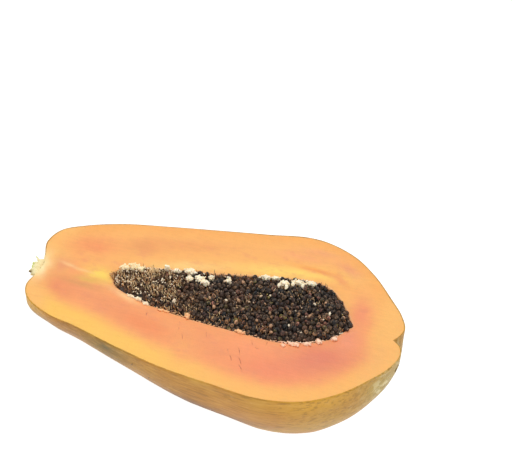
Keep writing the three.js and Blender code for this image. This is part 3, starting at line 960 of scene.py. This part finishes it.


# %% [markdown]
# ### Finish of the seeds
#
# The jelly coat acts as a lens: round a seed's tip there is a dark middle and then a lighter ring. Real
# refraction in a thousand coats would take minutes to render, so the ring is painted into the colour, a painted
# highlight. Each point knows its rise, the cosine of its angle from its seed's bright side, and its depth in
# the
# heap, where the colour turns lighter: partly the pale pulp between the seeds, and partly painted fill light
# that keeps the shaded gaps from going black. Each seed has its own draw for how brown it is, how strong its
# ring is, and of which hue. Fine noise paints small highlights into the colour between the wrinkles, where the
# wet coat would glint.

# %% Seed finish
SEED_ATTRIBUTES = ("rise", "depth", "tone", "glow", "hue")


def finish_seeds():
    finish = Finish("wet_seed", Specular_IOR_Level=0.22)
    place = finish.fruit_place()
    rise, depth, tone, glow, hue = (finish.attribute(name) for name in SEED_ATTRIBUTES)
    wrinkles = finish.noise(place, 0.9, detail=3, roughness=0.75, distortion=1.0)
    painted_glint_noise = finish.noise(finish.stretched(place, (1, 1, 0.5)), 1.1, detail=1.5)
    body = finish.blend(hue.rise(0.3, 0.7), "#221e1e", "#1b2023")
    colour = finish.blend(wrinkles.rise(0.36, 0.7), body, "#2c2827")
    colour = finish.blend(tone * 0.8, colour, "#6f4e35")
    # lighter with depth in the heap: partly the pale pulp between the seeds, partly painted fill light against
    # the shade in the gaps
    pulp_and_painted_fill = finish.blend(tone, "#7a716c", "#a87c58")
    colour = finish.blend(depth * 0.85, colour, pulp_and_painted_fill)
    # painted highlight: the lighter ring that the jelly coat's refraction makes round each seed's tip
    ring = (rise + (wrinkles - 0.5) * 0.4).bell(0.76, 0.13) * glow
    ring_tint = finish.blend(hue.rise(0.1, 0.5), "#bf7d68", "#b98c64")
    ring_tint = finish.blend(hue.rise(0.88, 0.94), ring_tint, "#a08d4a")
    colour = finish.blend(ring * 0.85, colour, ring_tint)
    # painted highlights: small wet sparkles on each seed's bright side, put into the colour
    painted_glints = painted_glint_noise.rise(0.61, 0.70) * rise.rise(0.0, 0.5)
    colour = finish.blend(painted_glints * (tone * 0.5 + 0.4), colour, "#cdb192")
    finish.feed(Base_Color=colour, Roughness=wrinkles * 0.35 + 0.15)
    finish.bump(wrinkles, 0.35 * MM)
    return finish


# %% Seeds as one mesh, and the core under them
def make_seeds(finish):
    random = np.random.default_rng(5)
    centres = seed_centres(random)
    count = len(centres)
    stemward = smooth_step(10 * MM, -80 * MM, centres[:, 0])
    sizes = random.uniform(0.8, 1.16, (count, 1)) * (1 - 0.25 * stemward[:, None])
    radii = SEED_RADII * sizes * random.uniform(0.92, 1.08, (count, 3))
    tips = unit(SEED_TIP + random.normal(0, 0.32, (count, 3)))
    shape = ball(2)
    points, faces = copies(shape, centres, radii, turns_towards(tips, random), dent=0.14)

    def for_points(values):
        return np.repeat(values, len(shape[0]), axis=0)

    outwards = unit(points - for_points(centres))
    bright_sides = unit(BRIGHT_SIDE + random.normal(0, 0.28, (count, 3)))
    # how deep each point lies in the heap; the finish lightens the colour with it, partly as painted fill light
    below = heap_height(points[:, 0], points[:, 1]) + 1.0 * MM - points[:, 2]
    tone = random.uniform(0, 0.25, count) + 0.6 * stemward + 0.25 * value_noise(centres, 16 * MM, 8)
    glow = random.beta(0.5, 1.5, count) * (1 + 0.9 * value_noise(centres, 18 * MM, 9))
    attributes = {
        "rise": np.sum(outwards * for_points(bright_sides), axis=1),
        "depth": np.clip(below / SEED_DEPTH, 0, 1),
        "tone": for_points(np.clip(tone, 0, 1)),
        "glow": for_points(np.clip(glow, 0, 1)),
        "hue": for_points(random.uniform(0, 1, count)),
    }
    make_piece("seeds", points, faces, finish, ["seed_heap"], attributes)
    print("seeds:", count)


CORE_ALONG = 60
CORE_TURNS = 24
CORE_UNDER = 5.2 * MM


def make_core(finish):
    """A closed body under the seeds, coloured as the deepest gaps: partly pale pulp, partly painted fill light.
    Its lower half follows the cavity's wall, and its top lies CORE_UNDER below the heap's own height."""
    along = spaced(CORE_ALONG, 0.5)[1:-1, None]
    turn = np.linspace(0, 2 * math.pi, CORE_TURNS, endpoint=False)[None, :]
    wall = cavity_wall(along + 0 * turn, turn + 0 * along)
    middle = np.mean(rims(along[:, 0]), axis=0)[:, None, :]
    body = middle + (wall - middle) * 0.93
    top = heap_height(body[..., 0], body[..., 1]) - CORE_UNDER
    body[..., 2] = np.where(np.sin(turn) < 0, top, np.minimum(body[..., 2], top))
    ends = [body[0].mean(axis=0), body[-1].mean(axis=0)]
    loops = np.concatenate([np.repeat(ends[0][None, None], CORE_TURNS, axis=1), body,
                            np.repeat(ends[1][None, None], CORE_TURNS, axis=1)])
    faces = grid_faces(*loops.shape[:2], True)
    attributes = {label: np.zeros(loops.size // 3) for label in SEED_ATTRIBUTES}
    # the core takes the full lighter colour of the deepest gaps, partly painted fill light
    attributes["depth"] += 1
    points = loops.reshape(-1, 3)
    make_piece("seed_core", points, faces, finish, ["seed_heap"], attributes, merge=MERGE_GAP)


seed_finish = finish_seeds()
make_seeds(seed_finish)
make_core(seed_finish)

# %% [markdown]
# ## Placenta
#
# Seeds hang on a pale, curdled tissue that lines the cavity. It shows along the rim, thick on the far side
# and as a thin fringe on the near side. Its curds have no simple formula, so each is a cloud of small
# overlapping balls, dense in the middle. A Remesh modifier fuses them into one closed skin, and fine noise
# then moves its points.

# %% Strands of placenta
CURD_BALL = 1.05 * MM
BALLS_PER_AREA = 0.6 / MM ** 2
CURD_SPREAD = 0.43
FRINGE_STEP = 1.1 * MM
CURD_VOXEL = 0.38 * MM


def curd_balls(curds, random):
    """Balls scattered around each middle by a normal draw times the half sizes. They are more where its
    surface is larger, and smaller the farther out they lie."""
    centres, radii = [], []
    for row in curds:
        middle, half = row[:3], row[3:]
        count = int(4 * math.pi * (half[0] * half[1] * half[2]) ** (2 / 3) * BALLS_PER_AREA) + 10
        draw = np.clip(random.normal(0, CURD_SPREAD, (count, 3)), -1.1, 1.1)
        far_out = np.linalg.norm(draw, axis=1)
        centres.append(middle + draw * half)
        radii.append(CURD_BALL * random.uniform(0.6, 1.2, count) * (1.25 - 0.45 * far_out))
    return np.concatenate(centres), np.concatenate(radii)


def fringe_balls(rim, stretches, random):
    """Small balls along the rim over stretches of x, each [from, to, radius, how far out of the rim]."""
    centres, radii = [], []
    for start, end, radius, outside in stretches:
        x = np.arange(start, end, FRINGE_STEP)
        y = np.interp(x, rim[:, 0], rim[:, 1]) + outside + random.normal(0, 0.5, x.size) * MM
        centres.append(np.stack([x, y, random.normal(0.0, 0.3, x.size) * MM], axis=-1))
        radii.append(radius * random.uniform(0.45, 1.5, x.size))
    return np.concatenate(centres), np.concatenate(radii)


def apply_modifiers(piece):
    """Puts the evaluated mesh in place of the piece's own, and drops the modifiers."""
    evaluated = piece.evaluated_get(bpy.context.evaluated_depsgraph_get())
    piece.data = bpy.data.meshes.new_from_object(evaluated)
    piece.modifiers.clear()


def ruffle(piece, size, height, seed):
    """Moves each point along its normal by height times noise of the given size."""
    mesh = piece.data
    count = len(mesh.vertices)
    points, normals = np.zeros(count * 3, np.float32), np.zeros(count * 3, np.float32)
    mesh.vertices.foreach_get("co", points)
    mesh.vertices.foreach_get("normal", normals)
    points, normals = points.reshape(-1, 3), normals.reshape(-1, 3)
    moved = points + normals * (height * value_noise(points, size, seed))[:, None]
    mesh.vertices.foreach_set("co", moved.astype(np.float32).ravel())
    mesh.polygons.foreach_set("use_smooth", np.ones(len(mesh.polygons), dtype=bool))
    mesh.update()


def fuse(piece, voxel):
    """Joins everything in a piece into one closed skin of faces about a voxel wide."""
    remesh = piece.modifiers.new("fuse", "REMESH")
    remesh.mode = "VOXEL"
    remesh.voxel_size = voxel
    apply_modifiers(piece)
    print(f"{piece.name}: fused into {len(piece.data.polygons)} faces")


def make_strand(name, node, curds, rim, stretches, seed, finish):
    random = np.random.default_rng(seed)
    line = curve_through(rim, np.linspace(0, 1, 300))
    sets = [curd_balls(curds, random), fringe_balls(line, stretches, random)]
    centres, radii = (np.concatenate(arrays) for arrays in zip(*sets))
    turns = turns_towards(unit(random.normal(size=centres.shape)), random)
    points, faces = copies(ball(2), centres, radii[:, None] * np.array([1.1, 1.0, 0.9]), turns, dent=0.15)
    piece = make_piece(name, points, faces, finish, [node])
    fuse(piece, CURD_VOXEL)
    ruffle(piece, 1.2 * MM, 0.12 * MM, seed)


# %% Finish of the placenta
def finish_placenta():
    finish = Finish(
        "curdled_placenta", Specular_IOR_Level=0.4, Subsurface_Weight=0.3, Subsurface_Scale=0.002,
        Subsurface_Radius=(1.0, 0.75, 0.5),
    )
    place = finish.fruit_place()
    x, y = finish.parts(place)[:2]
    lumps = finish.noise(place, 1.3, detail=4, roughness=0.65)
    patches = finish.noise(place, 7, detail=3)
    colour = finish.blend(lumps.rise(0.3, 0.5), "#ecc691", "#fdf0d4")
    colour = finish.blend(patches.rise(0.5, 0.68) * 0.3, colour, "#f0cb94")
    colour = finish.blend(x.rise(-52, -64) * y.rise(0, 6) * 0.5, colour, "#f3d796")
    fleshy = x.rise(-52, -40) * 0.75 + x.rise(60, 72) * -0.3
    near_tint = finish.blend(x.rise(20, 80), "#f2b47c", "#f6b394")
    colour = finish.blend(y.rise(-6, -10) * (lumps.rise(0.7, 0.45) * 0.2 + fleshy), colour, near_tint)
    finish.feed(Base_Color=colour, Roughness=lumps * 0.3 + 0.3)
    finish.bump(lumps, 0.2 * MM)
    return finish


placenta_finish = finish_placenta()
FRINGE_FAR = MM * np.array([
    [-86, -50, 0.75, -0.6], [-44, -16, 0.8, -0.6], [0, 8, 0.5, 0], [27, 77, 0.8, -0.5],
])
FRINGE_NEAR = MM * np.array([[-70, -12, 0.5, 0.1], [-12, 62, 0.45, 0.1], [62, 109, 0.7, 0.0]])
make_strand("placenta_curds_far", "placenta_far", CURDS_FAR, CAVITY_FAR_RIM, FRINGE_FAR, 21, placenta_finish)
make_strand(
    "placenta_curds_near", "placenta_near", CURDS_NEAR, CAVITY_NEAR_RIM, FRINGE_NEAR, 22, placenta_finish,
)

# %% [markdown]
# ## Threads and hairs
#
# Each seed hangs on a pale thread. Where the cavity narrows, the threads are dense and show between the
# seeds, and a few dark hairs stand on the far rim. A thread is a thin tube on a slightly bent path. All of
# them are one grid: rings of points along every path at once, closed at both ends by a shrinking ring.

# %% Thread meshes
THREAD_SIDES = 4
THREAD_STEPS = 6


def tubes(starts, middles, ends, radius):
    """Tubes along quadratic curves (1-t)^2 start + 2t(1-t) middle + t^2 end. A ring of THREAD_SIDES points is
    turned across each curve, and its radius tapers to almost nothing at both ends as (1 - |2t - 1|^3)."""
    t = np.linspace(0, 1, THREAD_STEPS + 1)[None, :, None]
    path = (1 - t) ** 2 * starts[:, None] + 2 * t * (1 - t) * middles[:, None] + t ** 2 * ends[:, None]
    ahead = np.gradient(path, axis=1)
    ahead /= np.linalg.norm(ahead, axis=-1, keepdims=True)
    side = np.cross(ahead, [0.31, 0.17, 0.93])
    side /= np.linalg.norm(side, axis=-1, keepdims=True)
    up = np.cross(ahead, side)
    taper = radius[:, None, None] * np.maximum(1 - np.abs(2 * t - 1) ** 3, 0.03)
    angle = np.arange(THREAD_SIDES) / THREAD_SIDES * 2 * math.pi
    cos, sin = (wave(angle)[None, None, :, None] for wave in (np.cos, np.sin))
    ring = side[:, :, None] * cos + up[:, :, None] * sin
    points = path[:, :, None] + ring * taper[..., None]
    walls = grid_faces(THREAD_STEPS + 1, THREAD_SIDES, True)
    per_tube = (THREAD_STEPS + 1) * THREAD_SIDES
    shifted = walls[None] + (np.arange(len(starts)) * per_tube)[:, None, None]
    return points.reshape(-1, 3), shifted.reshape(-1, 4)


THREAD_TUFTS = np.array([
    # middle x, y and spread along x, y in millimetres, how many, and tone: 0 cream, 0.5 tan, 1 reddish brown
    [-66, 2, 12, 8, 330, 0.25], [-54, 11, 6, 3.5, 150, 0.0], [-76, 8, 5, 3, 70, 0.1],
    [-41, 1, 13, 10, 230, 0.4], [-52, -3, 4, 4, 50, 0.0], [-20, -4, 13, 10, 110, 0.5],
    [-36, -7, 3, 3, 34, 0.0], [-31, 6, 5, 4, 34, 0.15],
    [-16, 21, 7, 3, 60, 0.85], [10, 26, 14, 4, 110, 0.9], [-86, 3, 1.2, 2.0, 16, 0.8],
    [7, -20, 3.5, 3, 42, 0.25], [25, -20, 5, 2.5, 46, 0.5], [-22, -19, 7, 3, 60, 0.35],
    [50, -21, 6, 2, 36, 0.55], [50, 26, 7, 4, 60, 0.3], [63, 28, 5, 4, 40, 0.4],
    [76, 18, 9, 6, 50, 0.55], [98, -4, 8, 8, 40, 0.6],
    [20, 5, 12, 8, 40, 0.5], [60, -4, 10, 4, 30, 0.6],
])
THREAD_LEAN = np.array([-0.12, 0.0, 1.0])
THREAD_BUNCH = 7 * MM


def make_threads(finish):
    """Threads that stand up between the seeds, in tufts: a normal draw around each tuft's middle, kept where
    noise gathers them in bunches. Each starts among the seeds and leans a random way, with a random bend."""
    random = np.random.default_rng(9)
    tuft = np.repeat(THREAD_TUFTS, THREAD_TUFTS[:, 4].astype(int), axis=0)
    x, y = (tuft[:, :2] + tuft[:, 2:4] * random.normal(size=(len(tuft), 2))).T * MM
    x = np.clip(x, -88 * MM, 108 * MM)
    far, near = rim_heights(x)
    y = np.clip(y, near + 0.8 * MM, far - 0.8 * MM)
    bunching = value_noise(np.stack([x, y, 0 * x], axis=-1), THREAD_BUNCH, 33)
    bunched = bunching + random.uniform(-0.3, 0.6, len(x)) > -0.1
    clear = clear_of_curds(x, y, 0.0) & bunched
    x, y, tone = x[clear], y[clear], tuft[clear, 5]
    count = len(x)
    stemward = smooth_step(-10 * MM, -50 * MM, x)
    start = np.stack([x, y, heap_height(x, y) + random.uniform(0.0, 1.6, count) * MM], axis=-1)
    heading = unit(THREAD_LEAN + random.normal(0, 0.27, (count, 3)))
    length = random.uniform(0.6, 1.15, count) * mix(3.2, 4.6, stemward) * MM
    end = start + heading * length[:, None]
    bend = (start + end) / 2 + random.normal(0, 0.5, (count, 3)) * MM
    points, faces = tubes(start, bend, end, random.uniform(0.14, 0.3 + 0.04 * stemward) * MM)
    tone = np.clip(tone + random.normal(-0.06, 0.24, count), 0, 1)
    attributes = {"tone": np.repeat(tone, (THREAD_STEPS + 1) * THREAD_SIDES)}
    nodes = ["placenta_near"]
    make_piece("seed_threads", points, faces, finish, nodes, attributes, merge=MERGE_GAP)


def finish_seed_threads():
    finish = Finish("pale_thread", Specular_IOR_Level=0.4)
    patches = finish.noise(finish.fruit_place(), 2.5, detail=3)
    tone = finish.attribute("tone") + (patches - 0.5) * 0.6
    colour = finish.blend(tone.rise(0.1, 0.5), "#fde0ae", "#b8824f")
    colour = finish.blend(tone.rise(0.5, 0.95), colour, "#7c4632")
    finish.feed(Base_Color=colour, Roughness=patches * 0.3 + 0.35)
    return finish


HAIRS = MM * np.array([
    # foot x, y, z, and tip x, y, z
    [87, 33, 3, 83, 40.5, 5], [84, 35.5, 3, 82.5, 40.5, 5.6], [79, 36.5, 3, 79.5, 40.5, 5.8],
    [76, 37.5, 2.5, 73.5, 41, 3.6], [-7.5, 26, 3, -9, 30, 4.2], [52, 37, 2.5, 51, 40, 3.4],
    [18, 31, 2.5, 17.4, 33.4, 3.4], [-37, 20, 3, -38, 22, 4],
    [-86, 4.5, 0.4, -91.5, 3.4, 0.7], [-86, 5.4, 0.4, -90.5, 6, 0.9], [-86, 3, 0.4, -90.5, 1.6, 0.7],
    [98, 24, 2.0, 100.5, 26.4, 2.6], [14, 30, 2.8, 13, 32.6, 3.2], [63, 38, 2.5, 64, 41, 3.0],
])


def make_hairs(finish):
    """Dark hairs from HAIRS, with a slight bow."""
    random = np.random.default_rng(3)
    feet, tips = HAIRS[:, :3], HAIRS[:, 3:]
    bow = (feet + tips) / 2 + random.normal(0, 0.4, feet.shape) * MM
    points, faces = tubes(feet, bow, tips, np.full(len(feet), 0.26 * MM))
    make_piece("rim_hairs", points, faces, finish, ["seed_heap"], merge=MERGE_GAP)


def finish_threads(name, low, high):
    finish = Finish(name, Specular_IOR_Level=0.4)
    place = finish.fruit_place()
    patches = finish.noise(place, 4, detail=3)
    finish.feed(Base_Color=finish.blend(patches.rise(0.35, 0.65), low, high), Roughness=patches * 0.3 + 0.35)
    return finish


make_threads(finish_seed_threads())
make_hairs(finish_threads("dark_hair", "#4a2a1c", "#7a4028"))

# %% [markdown]
# ## Pale seeds
#
# Some seeds never ripen. They stay small, and cream, tan or olive, and a few shreds of placenta lie on the
# heap with them. They are the same balls as the seeds, some of them scattered by a seeded draw, with more and
# paler ones where the cavity narrows, and the ones that catch the eye listed one by one.

# %% Pale seeds
PALE_SEEDS = np.array([
    # x, y and radius in millimetres, and tone: 0 is cream, 0.5 tan, 1 olive
    [10.4, -1.4, 1.7, 0], [-30, -14, 1.6, 0.1], [-16, -8, 1.1, 0.35], [-37, -9, 1.2, 0.7], [-35, -12, 1, 0.6],
    [-6, 8, 1.1, 0.2], [3, 19, 1.2, 0.3], [36, 11, 1.2, 0.3], [43, 14, 0.9, 0.1], [48, -5, 1.4, 0.6],
    [57, -5, 1.3, 1.0], [60.5, -6, 1.4, 1.0], [66, -5, 1.0, 0.9], [71, -6, 1.2, 0.95], [66, -13, 1.0, 0.1],
    [77, -17, 1.0, 0.2], [79, 1, 1.5, 0.5], [84, 8, 1.2, 0.8], [94, 8, 1.3, 0.0], [80, 15, 1.1, 0.1],
    [60, 17, 1.2, 0.5], [77, 21, 1.0, 0.4], [88, 19, 1.2, 0.4], [20, 1, 1.6, 0.5], [18, 22, 1.6, 0.45],
    [40, -15, 1.6, 0.5], [52, -17, 1.7, 0.55], [26, -7, 1.6, 0.5], [-3, -3, 1.6, 0.4], [3, -11, 1.5, 0.45],
    [5, -21, 1.6, 0.7], [24, -20, 1.5, 0.45], [49, -22, 1.4, 0.5], [54, -22.5, 1.3, 0.5], [106, 8, 1.2, 0.4],
    [-52, -3, 1.1, 0.5], [-58, 4, 1.0, 0.6], [-70, 2, 0.9, 0.4], [-25, 8, 1.0, 0.6], [-47, -12, 1.2, 0.7],
])
PALE_SCATTERED = 110
PALE_STEMWARD = 150


def make_pale_seeds(finish):
    random = np.random.default_rng(17)
    everywhere = random.uniform(-84, 106, PALE_SCATTERED)
    stemward = random.uniform(-84, -28, PALE_STEMWARD)
    x = np.concatenate([everywhere, stemward]) * MM
    far, near = rim_heights(x)
    y = mix(near, far, random.uniform(0.08, 0.95, x.size))
    spots = np.concatenate([np.stack([x, y], axis=-1), PALE_SEEDS[:, :2] * MM])
    size = np.concatenate([random.uniform(0.4, 0.9, x.size), PALE_SEEDS[:, 2]]) * MM
    scattered_tone = np.where(np.arange(x.size) < PALE_SCATTERED, 0.1, -0.4) + random.uniform(0, 0.7, x.size)
    tone = np.concatenate([np.clip(scattered_tone, 0, 1), PALE_SEEDS[:, 3]])
    height = heap_height(spots[:, 0], spots[:, 1]) + 2.0 * MM
    centres = np.column_stack([spots, height])
    radii = size[:, None] * random.uniform(0.7, 1.15, (len(size), 3)) * np.array([0.9, 0.9, 1.4])
    tips = unit(SEED_TIP + random.normal(0, 0.5, centres.shape))
    shape = ball(2)
    points, faces = copies(shape, centres, radii, turns_towards(tips, random), dent=0.3)
    attributes = {"tone": np.repeat(tone, len(shape[0]))}
    make_piece("pale_seeds", points, faces, finish, ["placenta_far"], attributes)


def finish_pale_seeds():
    finish = Finish("pale_seed", Specular_IOR_Level=0.4, Coat_Weight=0.3, Coat_Roughness=0.15)
    place = finish.fruit_place()
    tone = finish.attribute("tone")
    lumps = finish.noise(place, 1.1, detail=3, roughness=0.7)
    light = finish.blend(tone.rise(0.1, 0.45), "#f7e8cc", "#c99a74")
    light = finish.blend(tone.rise(0.55, 0.9), light, "#a79a3f")
    dark = finish.blend(tone.rise(0.1, 0.6), "#cda878", "#4a3524")
    colour = finish.blend((lumps - tone * 0.12).rise(0.3, 0.52), dark, light)
    finish.feed(Base_Color=colour, Roughness=lumps * 0.3 + 0.25)
    finish.bump(lumps, 0.3 * MM)
    return finish


make_pale_seeds(finish_pale_seeds())

# %% [markdown]
# ## Stub of the stalk
#
# The stalk was torn off, and its stub was cut in half with the fruit. It is a short bundle of fibres that
# grows out of the flesh with no border: cream inside, green where its bark stands up in prongs, and brown
# where it has dried. Like the curds, it is a set of balls fused into one skin, this time strung along its
# fibres. Its top is then pressed to the level of the cut, and sinks into the flesh where the two grow
# together.

# %% Stalk stub
STALK_FIBRES = MM * np.array([
    # root x, y, z, tip x, y, z, and the radius at the root and at the tip
    [-145, 2.2, -1.5, -151.5, 2.4, -0.6, 2.4, 1.6], [-145, -1, -1.5, -152.8, -1.5, -0.8, 2.6, 1.8],
    [-145, -4.5, -1.5, -153.4, -5.5, -0.8, 2.6, 2.0], [-145.5, -8, -1.5, -153.2, -9, -1.0, 2.5, 1.8],
    [-146.5, -10.5, -1.5, -151.8, -12, -1.2, 2.2, 1.6], [-150, 1, -0.6, -155.6, 5.4, 0.2, 1.5, 0.55],
    [-151.5, -3, -0.6, -155.4, -2.2, 0.1, 1.5, 0.6], [-152, -8.6, -1.0, -155.3, -11.2, -1.0, 1.9, 1.1],
    [-151, -11, -1.2, -152.4, -13.6, -1.4, 1.9, 1.1], [-146, -7.5, -5, -152.4, -9.5, -6.0, 2.6, 1.3],
    [-146, -3.5, -6, -153.2, -4.2, -7.6, 2.6, 1.1], [-146, 0.5, -5, -152.2, 1.8, -6.2, 2.6, 1.2],
    [-146, -4, -3, -152.0, -4, -4, 3.6, 2.6], [-151, -1.5, -3, -154.6, 0.2, -3.6, 1.6, 0.7],
])
STALK_BALLS = 9
STALK_VOXEL = 0.38 * MM
STALK_TOP = 0.45 * MM
STALK_SINK = 1.6 * MM
STALK_SINKS = (-149.4 * MM, -145.5 * MM)


def make_stalk(finish):
    """Balls from the root to the tip of each fibre, their radii going evenly from one to the other. The top
    is held under STALK_TOP, lowered by STALK_SINK towards the flesh."""
    random = np.random.default_rng(12)
    share = np.linspace(0, 1, STALK_BALLS)[None, :, None]
    roots, tips = STALK_FIBRES[:, None, :3], STALK_FIBRES[:, None, 3:6]
    centres = mix(roots, tips, share).reshape(-1, 3)
    radii = mix(STALK_FIBRES[:, None, 6:7], STALK_FIBRES[:, None, 7:8], share).reshape(-1, 1)
    centres += random.normal(0, 0.22, centres.shape) * MM
    radii = radii * random.uniform(0.85, 1.1, (len(centres), 3))
    turns = turns_towards(unit(random.normal(size=centres.shape)), random)
    points, faces = copies(ball(2), centres, radii, turns, dent=0.12)
    top = STALK_TOP - STALK_SINK * smooth_step(*STALK_SINKS, points[:, 0])
    prongs = smooth_step(-151.5 * MM, -153.5 * MM, points[:, 0]) * 2.0 * MM
    points[:, 2] = np.minimum(points[:, 2], top + prongs)
    piece = make_piece("stalk_fibres", points, faces, finish, ["stalk_stub"])
    fuse(piece, STALK_VOXEL)
    ruffle(piece, 1.0 * MM, 0.25 * MM, 12)


def finish_stalk():
    finish = Finish("torn_stalk", Specular_IOR_Level=0.3)
    place = finish.fruit_place()
    x, y, z = finish.parts(place)
    fibres = finish.noise(finish.stretched(place, (0.25, 1, 1)), 0.9, detail=3, roughness=0.7)
    lumps = finish.noise(place, 2.2, detail=3)
    outer = (x + (lumps - 0.5) * 2).rise(-152.6, -154.6) * z.rise(-1.4, -0.4)
    colour = finish.blend(x.rise(-152, -148), "#efe3b4", "#f3dda6")
    colour = finish.blend(fibres.rise(0.48, 0.66) * 0.55, colour, "#d3bf72")
    green = (outer + z.rise(-2.5, -6) * 0.6) * y.rise(-9.5, -7)
    colour = finish.blend(green * 0.8, colour, "#b7c25a")
    brown = finish.patch(place, (-154.4, -12.4, -1.4), (2.2, 2.2, 4))
    colour = finish.blend(brown * 1.2, colour, "#6b5327")
    finish.feed(Base_Color=colour, Roughness=fibres * 0.3 + 0.5)
    finish.bump(fibres, 0.5 * MM)
    return finish


make_stalk(finish_stalk())

# %% [markdown]
# ## Veins and marks
#
# A few dark vessels cross the flesh by the near rim, and the skin has small dry scratches. Each is a fine
# tube half sunk in the surface, so it catches light as the real one does.

# %% Veins in the flesh, marks on the skin
VEINS = MM * np.array([
    # start x, y, bend x, y, end x, y
    [-21, -28.5, -18.6, -32, -19.4, -35], [-19.4, -35, -18.4, -36.5, -18, -39.5],
    [-48, -27, -48.6, -29, -47.6, -32],
    [40, -31.5, 41.6, -34, 42.8, -38], [52.5, -29.5, 53.6, -32, 53, -35.5], [45, -38.5, 46.4, -40, 49, -39.2],
    [24, -46, 26.5, -48.4, 27, -51.5], [27, -51.5, 30.4, -54, 31.4, -58.5], [37, -59.5, 41, -62.4, 43, -68],
    [32, -42, 35, -46, 36, -51], [35, -52, 38, -55, 40, -60], [-16, -40, -13, -44, -12, -49],
    [3, -34, 5, -37, 5, -41],
])
VEIN_RADIUS = 0.42 * MM
VEIN_HEIGHT = -0.12 * MM
SKIN_MARKS = np.array([
    # how far along, turn in degrees, and how far it runs in each
    [0.395, 166, 0.002, 4], [0.415, 155, 0.004, 6], [0.42, 150, 0.008, 2], [0.835, 150, 0.015, 3],
    [0.85, 153, 0.012, -4],
])
MARK_RADIUS = 0.28 * MM


def make_veins(finish):
    flat = VEINS.reshape(-1, 3, 2)
    lying = np.concatenate([flat, np.full((len(flat), 3, 1), VEIN_HEIGHT)], axis=2)
    points, faces = tubes(lying[:, 0], lying[:, 1], lying[:, 2], np.full(len(flat), VEIN_RADIUS))
    make_piece("flesh_veins", points, faces, finish, ["papaya_half"], merge=MERGE_GAP)


def make_marks(finish):
    along, turn, run, sweep = SKIN_MARKS.T
    steps = [skin_surface(along + run * t, np.radians(turn + sweep * t)) for t in (0, 0.5, 1)]
    points, faces = tubes(*steps, np.full(len(along), MARK_RADIUS))
    make_piece("skin_marks", points, faces, finish, ["papaya_half"], merge=MERGE_GAP)


make_veins(finish_threads("vein", "#c0704f", "#e39467"))
make_marks(finish_threads("dry_mark", "#4a3520", "#8a6838"))

# %% [markdown]
# ## Floor
#
# The floor is a plain sheet well past the view. It is stage, and not part of the object.

# %% Floor
def make_floor():
    finish = Finish("pale_floor", Roughness=0.85, Specular_IOR_Level=0.2, Emission_Strength=FLOOR_GLOW)
    finish.shader.inputs["Emission Color"].default_value = to_linear("#ffffff")
    finish.shader.inputs["Base Color"].default_value = to_linear(FLOOR_TINT)
    corners = [(-FLOOR_HALF, -FLOOR_HALF, 0), (FLOOR_HALF, -FLOOR_HALF, 0), (FLOOR_HALF, FLOOR_HALF, 0),
               (-FLOOR_HALF, FLOOR_HALF, 0)]
    mesh = bpy.data.meshes.new("floor")
    mesh.from_pydata(corners, [], [(0, 1, 2, 3)])
    mesh.materials.append(finish.material)
    floor = bpy.data.objects.new("floor", mesh)
    bpy.context.scene.collection.objects.link(floor)


make_floor()
